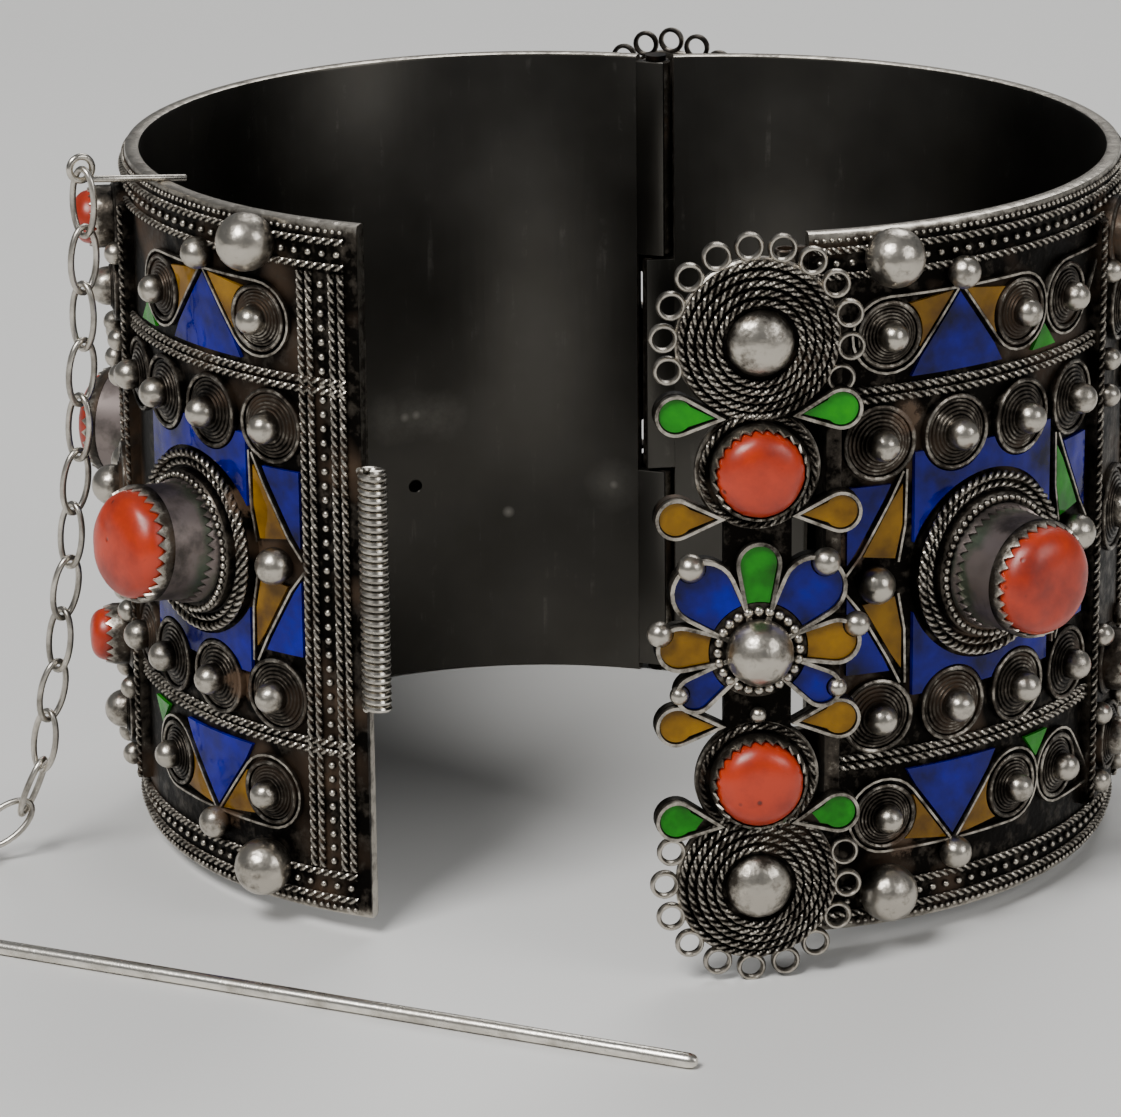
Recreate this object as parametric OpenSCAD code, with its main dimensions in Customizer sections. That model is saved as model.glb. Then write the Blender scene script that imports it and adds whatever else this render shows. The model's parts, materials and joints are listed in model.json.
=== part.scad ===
// Hinged silver bracelet of two curved halves, shown open on a table.
// It stands on the rosette below its closure strip and on the rear of its lower rim.

/* [Band] */
// Outer radius of each curved half
band_r = 32.5; // [30:0.5:36]
// Thickness of the silver sheet
sheet = 1.25; // [1:0.05:1.6]
// Height of the band
band_h = 56.5; // [56:0.5:60]
// Distance of each band end from the closed mouth's middle
mouth_half = 1.35; // [1.3:0.05:1.8]
// Distance of each sheet end from the hinge axis
hinge_half = 1.45; // [1.4:0.05:1.8]

/* [Opening] */
// Turn of each half about the hinge, as it lies
half_open = 14.13; // [0:0.01:15]
// Drop from the rosette's lowest ring to the lower rim, which leans the bracelet back
strip_drop = 1.75; // [1.5:0.05:2]

/* [Hinge and closure] */
// Outer radius of the hinge knuckles
knuckle_r = 1.25; // [1.2:0.05:1.4]
// Radius of the hinge pin
hinge_pin_r = 0.5; // [0.4:0.05:0.6]
// Outer radius of the wire coil on the left end
coil_r = 1.2; // [1.1:0.05:1.3]
// Radius of the loose closing pin
closing_pin_r = 0.6; // [0.58:0.01:0.61]
// Length of the loose closing pin, to the middle of its eye
closing_pin_l = 67; // [66.5:0.5:67.5]

/* [Stones and granules] */
// Radius of the large coral stones
coral_r = 4.35; // [4:0.05:4.5]
// Top of the large coral stones above the band
coral_top = 8.5; // [7.5:0.1:9]
// Radius of the largest granules beside the mouth
big_ball_r = 2.3; // [2:0.1:2.4]
// Radius of the granule in a ringed disc
dome_ball_r = 1.25; // [1:0.05:1.4]
// Radius of a ringed disc
dome_disc_r = 3.05; // [2.6:0.05:3.1]

/* [Chain] */
// Half length of a link, on its wire's middle line
link_half_l = 2.7; // [2.6:0.02:2.8]
// Half width of a link, on its wire's middle line
link_half_w = 1.3; // [1.2:0.05:1.4]
// Radius of the chain's wire
link_wire_r = 0.28; // [0.2:0.01:0.28]

/* [Hidden] */
$fn = 48;

silver = "#8f8a82";
coral = "#d8431f";
blue = "#10209a";
amber = "#c08a1e";
green = "#2f9e35";

// Depth to which soldered work is sunk, and the clearance between loose pieces
sink = 0.5;
gap = 0.1;

// Mean radius at which a distance along the arc is turned into an angle
function arc_deg(m) = m / band_r * 180 / PI;
inner_r = band_r - sheet;
mouth_deg = asin(mouth_half / band_r);
hinge_deg = 180 - asin(hinge_half / band_r);

// The lean turns the bracelet about the rear of its lower rim, where y is lean_y
lean_y = band_r + band_r * (1 - cos(half_open));
lean = atan(strip_drop / (lean_y + 35.7));

// Closure strip: its plate stands off the band, flat, in front of the mouth
strip_under = 3.7;
strip_lift = 4.5;
strip_x = -3.3;
rosette_r = 6.3;
rosette_top_z = 49.7;
rosette_bottom_z = 6.4;
ringlet_circle_r = 7.15;
ringlet_r = 1.15;
ringlet_bore = 0.75;
// Radius of a rosette's boss, and of the room that its wires take
boss_r = 2.65;
rosette_ring_r = 5.75;
closure_coral_r = 3.4;
closure_coral_z = [39.6, 14.9];
flower_z = 25.4;

// Places of the ornament, along the arc from the mouth and up the band
big_ball_z = [3.25, 54.5];
border_z = [1.4, 2.4, 3.4];
border_m = [2.7, 3.5, 5.5, 6.3];
divider_z = [13.6, 14.5, 43.1, 44.1];
panel_m = [17.5, 52, 84];
strip_m = [35, 69];
strip_half_w = 3.9;
dome_offsets = [-10.1, -3.4, 3.4, 10.1];
dome_z = [17.6, 39.7];
register_z = [9.2, 48.2];
apex_z = [5.2, 52.4];
circle_offset = 6.2;
unit_pitch = 18.4;
side_ball_offset = 10.5;
mid_z = 28.5;
// Height about which the ornament's upper part is mirrored to its lower part
mirror_z = 28.75;
// Offset of the first panel on each half, and of the left one's discs from its collar
left_shift = 1;
left_nudge = 1;
right_shift = -0.4;
// Middle of the first unit of drops on each half
left_first = 16.6;
right_first = 13.9;
hinge_clear_m = 94;

// Collar round a large coral: [radius, height above the band] of its steps and its tube
collar_steps = [[6.9, 0.7], [5.4, 1.6]];
collar_tube = [4.75, 6.6];
collar_ring_r = 7.1;
cup_floor = 5.1;
// Upward tilt of the left front collar and its stone
left_tilt = 7;

// Divider strips: stones, granules at both edges and bosses up the strip
strip_rise = 0.8;
strip_ends = [4.2, 53];
strip_coral_r = 2.2;
strip_coral_z = [15.6, 51.2];
strip_cup_floor = 2.2;
// The cups start inside the strip, above the rim wires
strip_cup_foot = 0.5;
strip_cup_top = 3;
strip_ball_z = [6, 11.8, 18.5, 38.6, 41.6, 48.8];
strip_boss_z = [9, 45.4];
strip_ball_m = 2.75;

// Small drops beside the flat strips' corals: [height, turn, 0 for green or 1 for amber]
petal_rows = [[44.2, 6, 0], [36.1, 2, 1], [19.6, 3, 1], [11.9, 10, 0]];
petal_r = 1.35;
petal_wall = 0.3;
petal_tip = 3.9;
petal_x = 6.3;
// Flower about its large granule: lobes and granules, each [side offset, height, radius]
flower_green = [0, 6.9, 1.5];
flower_blue = [[4.25, 4.85, 2.3], [4.9, -3.25, 1.3]];
flower_amber = [6.05, 0.45, 1.6];
flower_narrow_r = 0.25;
flower_balls = [[5.2, 6.8, 1.1], [7.6, 1.7, 1], [6.1, -3.3, 0.75]];
flower_ring_r = 3.3;
flower_hole_r = 3.85;
// Rosette heights on the hinge cover, whose plate is thinner
cover_top_z = 50.4;
cover_bottom_z = 8;
cover_disc_r = 5.6;
cover_circle_r = 6.45;

// Coil and tubes of the closure share an axis just past the left band end
closure_axis = [-0.45, -32.6];
coil_z = [17.4, 37.3];
tube_r = 0.86;
tube_bore = 0.64;
tube_z = [[1, 17], [37.7, 55.5]];
hinge_bore = hinge_pin_r + 0.05;
knuckle_gap = 0.15;
leaf_reach = 1.1;
knuckle_cuts = [19, 38.5];
knuckle_ends = [0.6, 56];

// Staple that holds the chain, and the loose pin on the table
staple_m = 24;
staple_tilt = 6;
staple_wire = 0.28;
staple_r = 0.95;
pin_tip = [10.5, -52.4];
pin_heading = 163.4;
eye_r = 1.5;
eye_wire = 0.3;
eye_z = 1.6;

// Chain: the hanging links lean out evenly, and the last ones turn on to the table
hang_links = 11;
hang_pitch = 4.68;
slack_pitch = 4.25;
chain_top = [-40.09, -18.96, 59.22];
// Links near the table: [tilt from straight down, heading, roll]
landing = [[22, 171, 175], [57, 207, 74], [85, 230, 169], [91, 255, 85], [88, 285, 160], [87, 281, 46]];
link_count = hang_links + len(landing);
link_steps = 14;
wire_sides = 6;

// Sets its children on the right half's outer face, local Z outwards and Y up
module on_face(m, z, lift = 0)
    rotate([0, 0, arc_deg(m)]) translate([0, -band_r - lift, z]) rotate([90, 0, 0]) children();

// Sets its children on the flat face of the closure strip, seen from the front
module on_strip(x, z, lift = 0)
    translate([x, -band_r - lift, z]) rotate([90, 0, 0]) children();

// Sets its children on the hinge cover, behind the hinge, seen from behind
module on_cover(x, z, lift = 0) rotate([0, 0, 180]) on_strip(x, z, lift) children();

// Turns one half about the hinge axis, +1 for the right half and -1 for the left
module opened(side) translate([0, band_r, 0]) rotate([0, 0, side * half_open])
    translate([0, -band_r, 0]) children();

// Stands the whole bracelet on the table
module stood() translate([0, lean_y, 0]) rotate([-lean, 0, 0]) translate([0, -lean_y, 0]) children();

// The left half is modelled as the right one and mirrored
module left_side() stood() opened(-1) mirror([1, 0, 0]) children();
module right_side() stood() opened(1) children();

// A curved shell between two radii, two heights and two angles
module shell(r0, r1, z0, z1, a0, a1)
    rotate([0, 0, a0 - 90]) rotate_extrude(angle = a1 - a0, $fn = 160)
        translate([r0, z0]) square([r1 - r0, z1 - z0]);

// A round wire laid along the band
module ridge(z, r, a0, a1)
    rotate([0, 0, a0 - 90]) rotate_extrude(angle = a1 - a0, $fn = 160)
        translate([band_r + 0.08, z]) circle(r = r, $fn = 16);

// A ring of wire lying on the local plane
module wire_ring(r, wire) rotate_extrude() translate([r, 0]) circle(r = wire, $fn = 16);

// A granule that stands on the local plane
module granule(r, rise = 0.6) translate([0, 0, r * rise]) sphere(r = r);

// A ringed disc with a granule, as on the dome rows and in the round ends of the drops
module ringed_disc(m, z, r, ball) on_face(m, z) {
    translate([0, 0, -sink]) cylinder(h = sink + 0.35, r = r);
    translate([0, 0, 0.2]) cylinder(h = 0.6, r = r * 0.6);
    granule(ball, 1);
}

// True where the ornament's middle stays off the raised strips and the hinge
function clear_of_strips(m, w) =
    m + w < hinge_clear_m && min([for (s = strip_m) abs(m - s)]) > strip_half_w + w;

// Outline of a drop whose round end is at the origin and whose point is at distance l
module drop(r, l, turn) rotate([0, 0, turn]) union() {
    circle(r = r);
    polygon([[0, -r * 0.93], [l, 0], [0, r * 0.93]]);
}

// The sheet of one half, with tabs and a flush inner leaf at its own hinge knuckles
module sheet_half(knuckles) {
    shell(inner_r, band_r, 0, band_h, mouth_deg, hinge_deg);
    for (k = knuckles) {
        translate([0.8, band_r - 1.15, k[0]]) cube([1.4, 0.95, k[1] - k[0]]);
        translate([-leaf_reach, inner_r, k[0]]) cube([leaf_reach + 1.6, 0.4, k[1] - k[0]]);
        difference() {
            translate([0, band_r, k[0]]) cylinder(h = k[1] - k[0], r = knuckle_r);
            translate([0, band_r, -1]) cylinder(h = band_h + 2, r = hinge_bore);
        }
    }
}

// Wires along the rims and the dividers
module ridges(start_m) {
    a0 = arc_deg(start_m);
    a1 = hinge_deg - 0.6;
    for (z = border_z) {
        ridge(z, 0.38, a0, a1);
        ridge(band_h - z, 0.38, a0, a1);
    }
    for (z = divider_z) ridge(z, 0.4, a0, a1);
}

// One collar: stepped rings, a tube and a cup for the stone
module collar(m, tilt) difference() {
    on_face(m, mid_z) {
        for (s = collar_steps) translate([0, 0, -2 * sink]) cylinder(h = 2 * sink + s[1], r = s[0]);
        translate([0, 0, 0.35]) wire_ring(collar_ring_r, 0.4);
        rotate([-tilt, 0, 0]) translate([0, 0, -sink]) cylinder(h = sink + collar_tube[1], r = collar_tube[0]);
    }
    on_face(m, mid_z) rotate([-tilt, 0, 0]) translate([0, 0, cup_floor]) cylinder(h = 5, r = coral_r + gap);
}

// The large coral, flat below and domed above
module coral_stone(m, tilt = 0) color(coral) on_face(m, mid_z) rotate([-tilt, 0, 0])
    translate([0, 0, cup_floor]) stone(coral_r, coral_top - cup_floor);

// A domed stone of radius r and height h on the local plane
module stone(r, h) intersection() {
    cylinder(h = h + 1, r = r);
    translate([0, 0, h - cap_r(r, h * 0.62)]) sphere(r = cap_r(r, h * 0.62), $fn = 64);
}

// Radius of the ball whose cap has a base radius r and a height h
function cap_r(r, h) = (r * r + h * h) / (2 * h);

// One raised strip between two panels
module divider_strip(m) {
    a = arc_deg(m);
    w = arc_deg(strip_half_w);
    shell(band_r - sink, band_r + strip_rise, strip_ends[0], strip_ends[1], a - w, a + w);
    for (z = strip_coral_z) difference() {
        on_face(m, z, strip_cup_foot)
            cylinder(h = strip_cup_top - strip_cup_foot, r = strip_coral_r + 0.35);
        on_face(m, z, strip_cup_floor) cylinder(h = 3, r = strip_coral_r + gap);
    }
    for (z = strip_boss_z) on_face(m, z) {
        cylinder(h = 1.2, r = 2.9);
        translate([0, 0, 0.6]) granule(1.6, 0.7);
    }
    for (z = strip_ball_z, side = [-1, 1]) on_face(m + side * strip_ball_m, z, 0.6) granule(0.95, 0.7);
    on_face(m, mid_z) {
        cylinder(h = 1.1, r = 3.6);
        translate([0, 0, 0.8]) granule(1.7, 0.7);
    }
}

// Registers of ringed drops with a granule at each point, and the two large granules
module registers(first_m, big_m) {
    for (i = [0 : 4], z = [0, 1]) {
        m = first_m + i * unit_pitch;
        if (clear_of_strips(m, 1.2)) on_face(m, apex_z[z]) granule(1.3);
        for (side = [-1, 1]) if (clear_of_strips(m + side * circle_offset, 2.4))
            ringed_disc(m + side * circle_offset, register_z[z], 2.7, 1.15);
    }
    for (z = big_ball_z) on_face(big_m, z) granule(big_ball_r, 0.65);
}

// Middle of a panel, its ringed discs and its side granules; only the first panel is out of true
function panel_at(p, shift) = p + (p == panel_m[0] ? shift : 0);
function disc_at(p, o, shift, nudge) =
    panel_at(p, shift) + (p == panel_m[0] ? min(o + nudge, dome_offsets[3]) : o);
function side_ball_at(p, side, shift, nudge) =
    panel_at(p, shift) + side * side_ball_offset + (p == panel_m[0] && side < 0 ? nudge : 0);

// Rows of ringed discs, side granules and collars of the middle register
module panels(shift, nudge, tilt) for (p = panel_m) {
    for (o = dome_offsets, z = dome_z) let (m = disc_at(p, o, shift, nudge))
        if (clear_of_strips(m, 2.4)) ringed_disc(m, z, dome_disc_r, dome_ball_r);
    for (side = [-1, 1]) let (m = side_ball_at(p, side, shift, nudge))
        if (clear_of_strips(m, 1)) on_face(m, mid_z) granule(1.5);
    collar(panel_at(p, shift), p == panel_m[0] ? tilt : 0);
}

// The border of upright wires at the left half's mouth end
module upright_border() for (m = border_m)
    on_face(m, 4.2, -0.02) rotate([-90, 0, 0]) cylinder(h = band_h - 8.4, r = 0.36, $fn = 16);

// Ground of a flat strip: two rosettes, two stone beds and a flower bed, joined by a spine
module strip_ground(thick, disc_r, top_z, bottom_z) linear_extrude(thick) union() {
    for (z = [top_z, bottom_z]) translate([0, z]) circle(r = disc_r);
    for (z = closure_coral_z) translate([0, z]) circle(r = 4.8);
    flower_lobe(flower_green, petal_wall);
    both_sides() for (lobe = concat([flower_amber], flower_blue)) flower_lobe(lobe, petal_wall);
    translate([-2.6, bottom_z]) square([5.2, top_z - bottom_z]);
    petal_trays();
}

// One small drop with its point towards the strip's middle, a smaller one with a shorter point
function tip_of(r) = petal_tip - 2.5 * (petal_r + petal_wall - r);
module petal(side, row, r) translate([side * petal_x, row[0]])
    drop(r, tip_of(r), side > 0 ? 180 + row[1] : -row[1]);
module petal_trays() for (side = [-1, 1], row = petal_rows) petal(side, row, petal_r + petal_wall);

// Lobes of the flower, which narrow towards its granule
module both_sides() for (side = [0, 1]) mirror([side, 0]) children();
function arc_points(middle, r, a0, a1, steps) =
    [for (i = [0 : steps]) let (a = a0 + (a1 - a0) * i / steps) middle + r * [cos(a), sin(a)]];
module flower_lobe(lobe, grown) {
    middle = [lobe[0], lobe[1]];
    near = flower_narrow_r + grown;
    far = lobe[2] + grown;
    way = atan2(middle[1], middle[0]);
    lean = acos((near - far) / norm(middle));
    translate([0, flower_z]) polygon(concat(arc_points(middle, far, way - lean, way + lean, 14),
        arc_points([0, 0], near, way + lean, way - lean + 360, 4)));
}
module lobe_wall(lobe) difference() {
    linear_extrude(0.55) flower_lobe(lobe, petal_wall);
    translate([0, 0, -1]) linear_extrude(2) flower_lobe(lobe, 0);
}

// Walls, wires, cups and granules that stand on a strip's face
module strip_relief(top_z, bottom_z) {
    difference() {
        for (z = [top_z, bottom_z], r = [3.2, 4.2, 5.2]) translate([0, z, 0]) wire_ring(r, 0.42);
        for (z = closure_coral_z) translate([0, z, -0.1]) cylinder(h = 2, r = closure_coral_r + 0.25);
    }
    for (z = [top_z, bottom_z]) translate([0, z, -0.4]) intersection() {
        cylinder(h = 4, r = boss_r);
        translate([0, 0, 0.3]) sphere(r = boss_r);
    }
    for (z = closure_coral_z) translate([0, z, -0.3]) difference() {
        cylinder(h = 1.9, r = closure_coral_r + 0.4);
        translate([0, 0, 0.5]) cylinder(h = 2, r = closure_coral_r + gap);
    }
    for (side = [-1, 1], row = petal_rows) difference() {
        linear_extrude(0.55) petal(side, row, petal_r + petal_wall);
        translate([0, 0, -1]) linear_extrude(2) petal(side, row, petal_r);
    }
    lobe_wall(flower_green);
    both_sides() for (lobe = concat([flower_amber], flower_blue)) lobe_wall(lobe);
    translate([0, flower_z, 0]) {
        wire_ring(flower_ring_r, 0.4);
        translate([0, 0, 1]) sphere(r = 2.6);
    }
    for (side = [-1, 1], b = flower_balls) translate([side * b[0], flower_z + b[1], 0.4])
        sphere(r = b[2]);
}

// Closure strip with its foot on the right band and its ringlets
module closure_strip() {
    on_strip(strip_x, 0, strip_under) {
        strip_ground(strip_lift - strip_under, rosette_r, rosette_top_z, rosette_bottom_z);
        ringlets(rosette_top_z, ringlet_circle_r, 12, 85, 225);
        ringlets(rosette_bottom_z, ringlet_circle_r, 11, 267, 219);
    }
    on_strip(strip_x, 0, strip_lift) strip_relief(rosette_top_z, rosette_bottom_z);
    translate([2, -band_r - strip_under - 0.3, 5]) cube([1.2, strip_under + 0.9, 46]);
}

// A row of open ringlets round a rosette, spread evenly over an angle
module ringlets(z, circle_r, count, middle, spread) for (i = [0 : count - 1]) {
    a = middle - spread / 2 + i * spread / (count - 1);
    translate([circle_r * cos(a), z + circle_r * sin(a), 0]) difference() {
        cylinder(h = strip_lift - strip_under, r = ringlet_r);
        translate([0, 0, -1]) cylinder(h = 3, r = ringlet_bore);
    }
}

// Short tubes hidden behind the strip, through which the closing pin goes
module closing_tubes() for (t = tube_z) {
    difference() {
        translate([closure_axis[0], closure_axis[1], t[0]]) cylinder(h = t[1] - t[0], r = tube_r);
        translate([closure_axis[0], closure_axis[1], -1]) cylinder(h = band_h + 2, r = tube_bore);
    }
    translate([0.29, -32.35, t[0]]) cube([1.6, 0.8, t[1] - t[0]]);
}

// Hinge cover: a strip like the closure's, a little smaller, with a foot on the left band
module hinge_cover() {
    on_cover(0, 0, strip_under + 0.1) {
        strip_ground(strip_lift - strip_under - 0.1, cover_disc_r, cover_top_z, cover_bottom_z);
        ringlets(cover_top_z, cover_circle_r, 11, 90, 215);
        ringlets(cover_bottom_z, cover_circle_r, 10, 270, 205);
    }
    on_cover(0, 0, strip_lift) strip_relief(cover_top_z, cover_bottom_z);
    translate([3.2, band_r - 0.9, 5]) cube([1.2, strip_under + 1.2, 46]);
}

// The wire coil at the left half's mouth, drawn as the tube that its turns fill
module coil() difference() {
    translate([-closure_axis[0], closure_axis[1], coil_z[0]])
        cylinder(h = coil_z[1] - coil_z[0], r = coil_r);
    translate([-closure_axis[0], closure_axis[1], -1]) cylinder(h = band_h + 2, r = coil_r - 0.5);
}

// Wire that holds the chain, soldered across the upper rim
module staple() on_face(staple_m, band_h + 0.2, -0.6) rotate([-staple_tilt, 0, 0]) {
    translate([0, 0, -2]) cylinder(h = 8.2, r = staple_wire, $fn = 16);
    translate([0, 0.85, 7]) rotate([0, 90, 0]) wire_ring(staple_r, staple_wire);
}

module left_band() color(silver) left_side() {
    sheet_half([[knuckle_ends[0], knuckle_cuts[0] - knuckle_gap],
        [knuckle_cuts[1] + knuckle_gap, knuckle_ends[1]]]);
    ridges(2.4);
    upright_border();
    registers(left_first, 10.4);
    panels(left_shift, left_nudge, left_tilt);
    for (m = strip_m) divider_strip(m);
    coil();
    hinge_cover();
    staple();
}

module right_band() color(silver) right_side() {
    sheet_half([[knuckle_cuts[0] + knuckle_gap, knuckle_cuts[1] - knuckle_gap]]);
    ridges(1.6);
    registers(right_first, 7.6);
    panels(right_shift, 0, 0);
    for (m = strip_m) divider_strip(m);
    closure_strip();
    closing_tubes();
}

// Pin of the hinge, with a low head at each end
module hinge_pin() color(silver) stood() translate([0, band_r, 0]) {
    translate([0, 0, 0.3]) cylinder(h = band_h - 0.4, r = hinge_pin_r);
    for (z = [0.1, knuckle_ends[1] + 0.05]) translate([0, 0, z]) cylinder(h = 0.4, r = 0.9);
}

// Loose closing pin on the table, with an eye for the chain
module closing_pin() color(silver)
    translate([pin_tip[0], pin_tip[1], closing_pin_r]) rotate([0, 0, pin_heading]) {
        rotate([0, 90, 0]) cylinder(h = closing_pin_l - eye_r, r = closing_pin_r);
        translate([closing_pin_l - eye_r - 0.5, 0, 0]) cylinder(h = eye_z + 0.2 - closing_pin_r, r = 0.5);
        translate([closing_pin_l, 0, eye_z - closing_pin_r]) wire_ring(eye_r, eye_wire);
    }

// Tilt, heading and roll of link k, and the way along the chain
function link_row(k) = k < hang_links ? [2 + 1.15 * k, 156, 75 + 90 * (k % 2)] : landing[k - hang_links];
function link_pitch(k) = k < hang_links ? hang_pitch : slack_pitch;
function heading(row) = [sin(row[0]) * cos(row[1]), sin(row[0]) * sin(row[1]), -cos(row[0])];
function joint(k) = k == 0 ? chain_top : joint(k - 1) + link_pitch(k - 1) * heading(link_row(k - 1));
function unit(v) = v / norm(v);

// One link: an oval loop of wire with round sections
module chain_link(k) {
    d = heading(link_row(k));
    flat = unit(cross(d, [0, 0, 1]));
    roll = link_row(k)[2];
    side = flat * cos(roll) + cross(flat, d) * sin(roll);
    axis = cross(d, side);
    middle = (joint(k) + joint(k + 1)) / 2;
    points = [for (i = [0 : link_steps - 1], j = [0 : wire_sides - 1])
        let (t = i * 360 / link_steps, s = j * 360 / wire_sides,
            out = unit(d * cos(t) / link_half_l + side * sin(t) / link_half_w))
        middle + d * link_half_l * cos(t) + side * link_half_w * sin(t)
            + link_wire_r * (out * cos(s) + axis * sin(s))];
    faces = [for (i = [0 : link_steps - 1], j = [0 : wire_sides - 1])
        let (a = i * wire_sides, b = ((i + 1) % link_steps) * wire_sides, n = (j + 1) % wire_sides)
        [a + j, a + n, b + n, b + j]];
    polyhedron(points, faces, convexity = 4);
}
module chain() color(silver) for (k = [0 : link_count - 1]) chain_link(k);

// Corals of the strips
module strip_coral(m, z) color(coral) on_face(m, z, strip_cup_floor) stone(strip_coral_r, 2.1);
module flat_coral(z) color(coral) translate([0, z, 0.2]) stone(closure_coral_r, 2.6);

// A thin curved layer of enamel cut to the outlines that its children draw as solids
enamel_r = band_r + 0.02;
enamel_t = 0.3;
module enamel_layer() intersection() {
    shell(enamel_r, enamel_r + enamel_t, 0, band_h, mouth_deg + 1, hinge_deg - 1);
    children();
}

// Prism through the enamel layer over an outline of places [offset, height]
module cell(m, points) on_face(m, 0, -2) linear_extrude(5) polygon(points);

// Mirrors a cell's outline to the lower half of the band
function flip(z) = 2 * mirror_z - z;
function up_down(points, down) = [for (p = points) down ? [p[0], flip(p[1])] : p];
function sideways(points, side) = [for (p = points) [-side * p[0], p[1]]];

// Cells beside a side granule: [towards the collar, height], and the ground round a collar
lozenge_inner = [[2.4, 36.2], [1.5, 34.9], [-0.9, 30.7], [1.8, 30.3], [2.4, 33]];
lozenge_outer = [[1.4, 36.3], [0.85, 35.2], [-1.5, 31.1], [-2.2, 30.1], [-2.2, 36.3]];
ground_reach = 7.1;
ground_z = [31, 38.6];
ground_hole_r = 7.65;
// Cells between two drops and inside a drop's point: [across, height]
between_drops = [[-4.3, 44.7], [4.3, 44.7], [3.48, 46.16], [0, 50.8], [-3.48, 46.16]];
drop_point = [[0.6, 51], [3.6, 47], [5.2, 47.6], [5.6, 50.3]];
drop_outside_r = 3.4;
drop_inside_r = 2.8;

module lozenge_cell(p, side, down, points, shift, nudge) let (m = side_ball_at(p, side, shift, nudge))
    if (clear_of_strips(m, 2.2)) cell(m, up_down(sideways(points, side), down));

module ground_cell(p, down, shift, nudge) {
    middle = panel_at(p, shift);
    near = p == panel_m[0] ? ground_reach - 0.7 * nudge : ground_reach;
    on_face(middle, 0, -2) linear_extrude(5) difference() {
        polygon(up_down([[-near, ground_z[0]], [ground_reach, ground_z[0]], [ground_reach, ground_z[1]],
            [-near, ground_z[1]]], down));
        translate([0, mid_z]) circle(r = ground_hole_r);
        for (o = dome_offsets) translate([disc_at(p, o, shift, nudge) - middle, dome_z[down ? 0 : 1]])
            circle(r = dome_disc_r + gap);
    }
}

// A register's cell, cut round the discs of the two drops at its sides
module drop_cell(m, points, down, r) on_face(m, 0, -2) linear_extrude(5) difference() {
    polygon(up_down(points, down));
    for (side = [-1, 1]) translate([side * circle_offset, register_z[down ? 0 : 1]]) circle(r = r);
}

module blue_cells(first_m, shift, nudge) {
    for (i = [0 : 4], down = [false, true]) {
        m = first_m + i * unit_pitch;
        if (clear_of_strips(m, 2.6)) drop_cell(m, between_drops, down, drop_outside_r);
    }
    for (p = panel_m, down = [false, true]) {
        for (side = [-1, 1]) lozenge_cell(p, side, down, lozenge_outer, shift, nudge);
        ground_cell(p, down, shift, nudge);
    }
}

module amber_cells(first_m, shift, nudge) {
    for (i = [0 : 4], side = [-1, 1], down = [false, true]) {
        m = first_m + i * unit_pitch;
        if (clear_of_strips(m + side * 3, 2.4))
            drop_cell(m, sideways(drop_point, -side), down, drop_inside_r);
    }
    for (p = panel_m, down = [false, true]) lozenge_cell(p, -1, down, lozenge_inner, shift, nudge);
    for (p = panel_m) lozenge_cell(p, 1, true, lozenge_inner, shift, nudge);
}

module green_cells(first_m, shift, nudge) {
    for (i = [0 : 4], down = [false, true]) {
        m = first_m + (i + 0.5) * unit_pitch;
        if (clear_of_strips(m, 1.4)) cell(m, up_down([[-1.5, 44.7], [1.5, 44.7], [0, 46.6]], down));
    }
    for (p = panel_m) lozenge_cell(p, 1, false, lozenge_inner, shift, nudge);
}

// Enamel of a flat strip in one colour, on its local plane
module strip_blue() both_sides() for (lobe = flower_blue) flower_lobe(lobe, -0.08);
module strip_amber() {
    both_sides() flower_lobe(flower_amber, -0.08);
    for (side = [-1, 1], row = petal_rows) if (row[2] == 1) petal(side, row, petal_r - 0.08);
}
module strip_green() {
    flower_lobe(flower_green, -0.08);
    for (side = [-1, 1], row = petal_rows) if (row[2] == 0) petal(side, row, petal_r - 0.08);
}

// Flat enamel leaves room round the strip's granules, beaded ring, rosettes and bezels
module strip_enamel() difference() {
    translate([0, 0, 0.02]) linear_extrude(0.35) children();
    for (side = [-1, 1], b = flower_balls) translate([side * b[0], flower_z + b[1], -1])
        cylinder(h = 3, r = b[2] + gap);
    translate([0, flower_z, -1]) cylinder(h = 3, r = flower_hole_r);
    for (z = closure_coral_z) translate([0, z, -1]) cylinder(h = 3, r = closure_coral_r + 0.5);
    for (z = [rosette_bottom_z, cover_bottom_z]) translate([0, z, -1]) cylinder(h = 3, r = rosette_ring_r);
}

module left_enamel_blue() color(blue) left_side() enamel_layer()
    blue_cells(left_first, left_shift, left_nudge);
module left_enamel_amber() color(amber) left_side() enamel_layer()
    amber_cells(left_first, left_shift, left_nudge);
module left_enamel_green() color(green) left_side() enamel_layer()
    green_cells(left_first, left_shift, left_nudge);
module right_enamel_blue() color(blue) right_side() enamel_layer()
    blue_cells(right_first, right_shift, 0);
module right_enamel_amber() color(amber) right_side() enamel_layer()
    amber_cells(right_first, right_shift, 0);
module right_enamel_green() color(green) right_side() enamel_layer()
    green_cells(right_first, right_shift, 0);

module closure_face() right_side() on_strip(strip_x, 0, strip_lift) children();
module cover_face() left_side() on_cover(0, 0, strip_lift) children();
module closure_enamel_blue() color(blue) closure_face() strip_enamel() strip_blue();
module closure_enamel_amber() color(amber) closure_face() strip_enamel() strip_amber();
module closure_enamel_green() color(green) closure_face() strip_enamel() strip_green();
module cover_enamel_blue() color(blue) cover_face() strip_enamel() strip_blue();
module cover_enamel_amber() color(amber) cover_face() strip_enamel() strip_amber();
module cover_enamel_green() color(green) cover_face() strip_enamel() strip_green();

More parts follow.
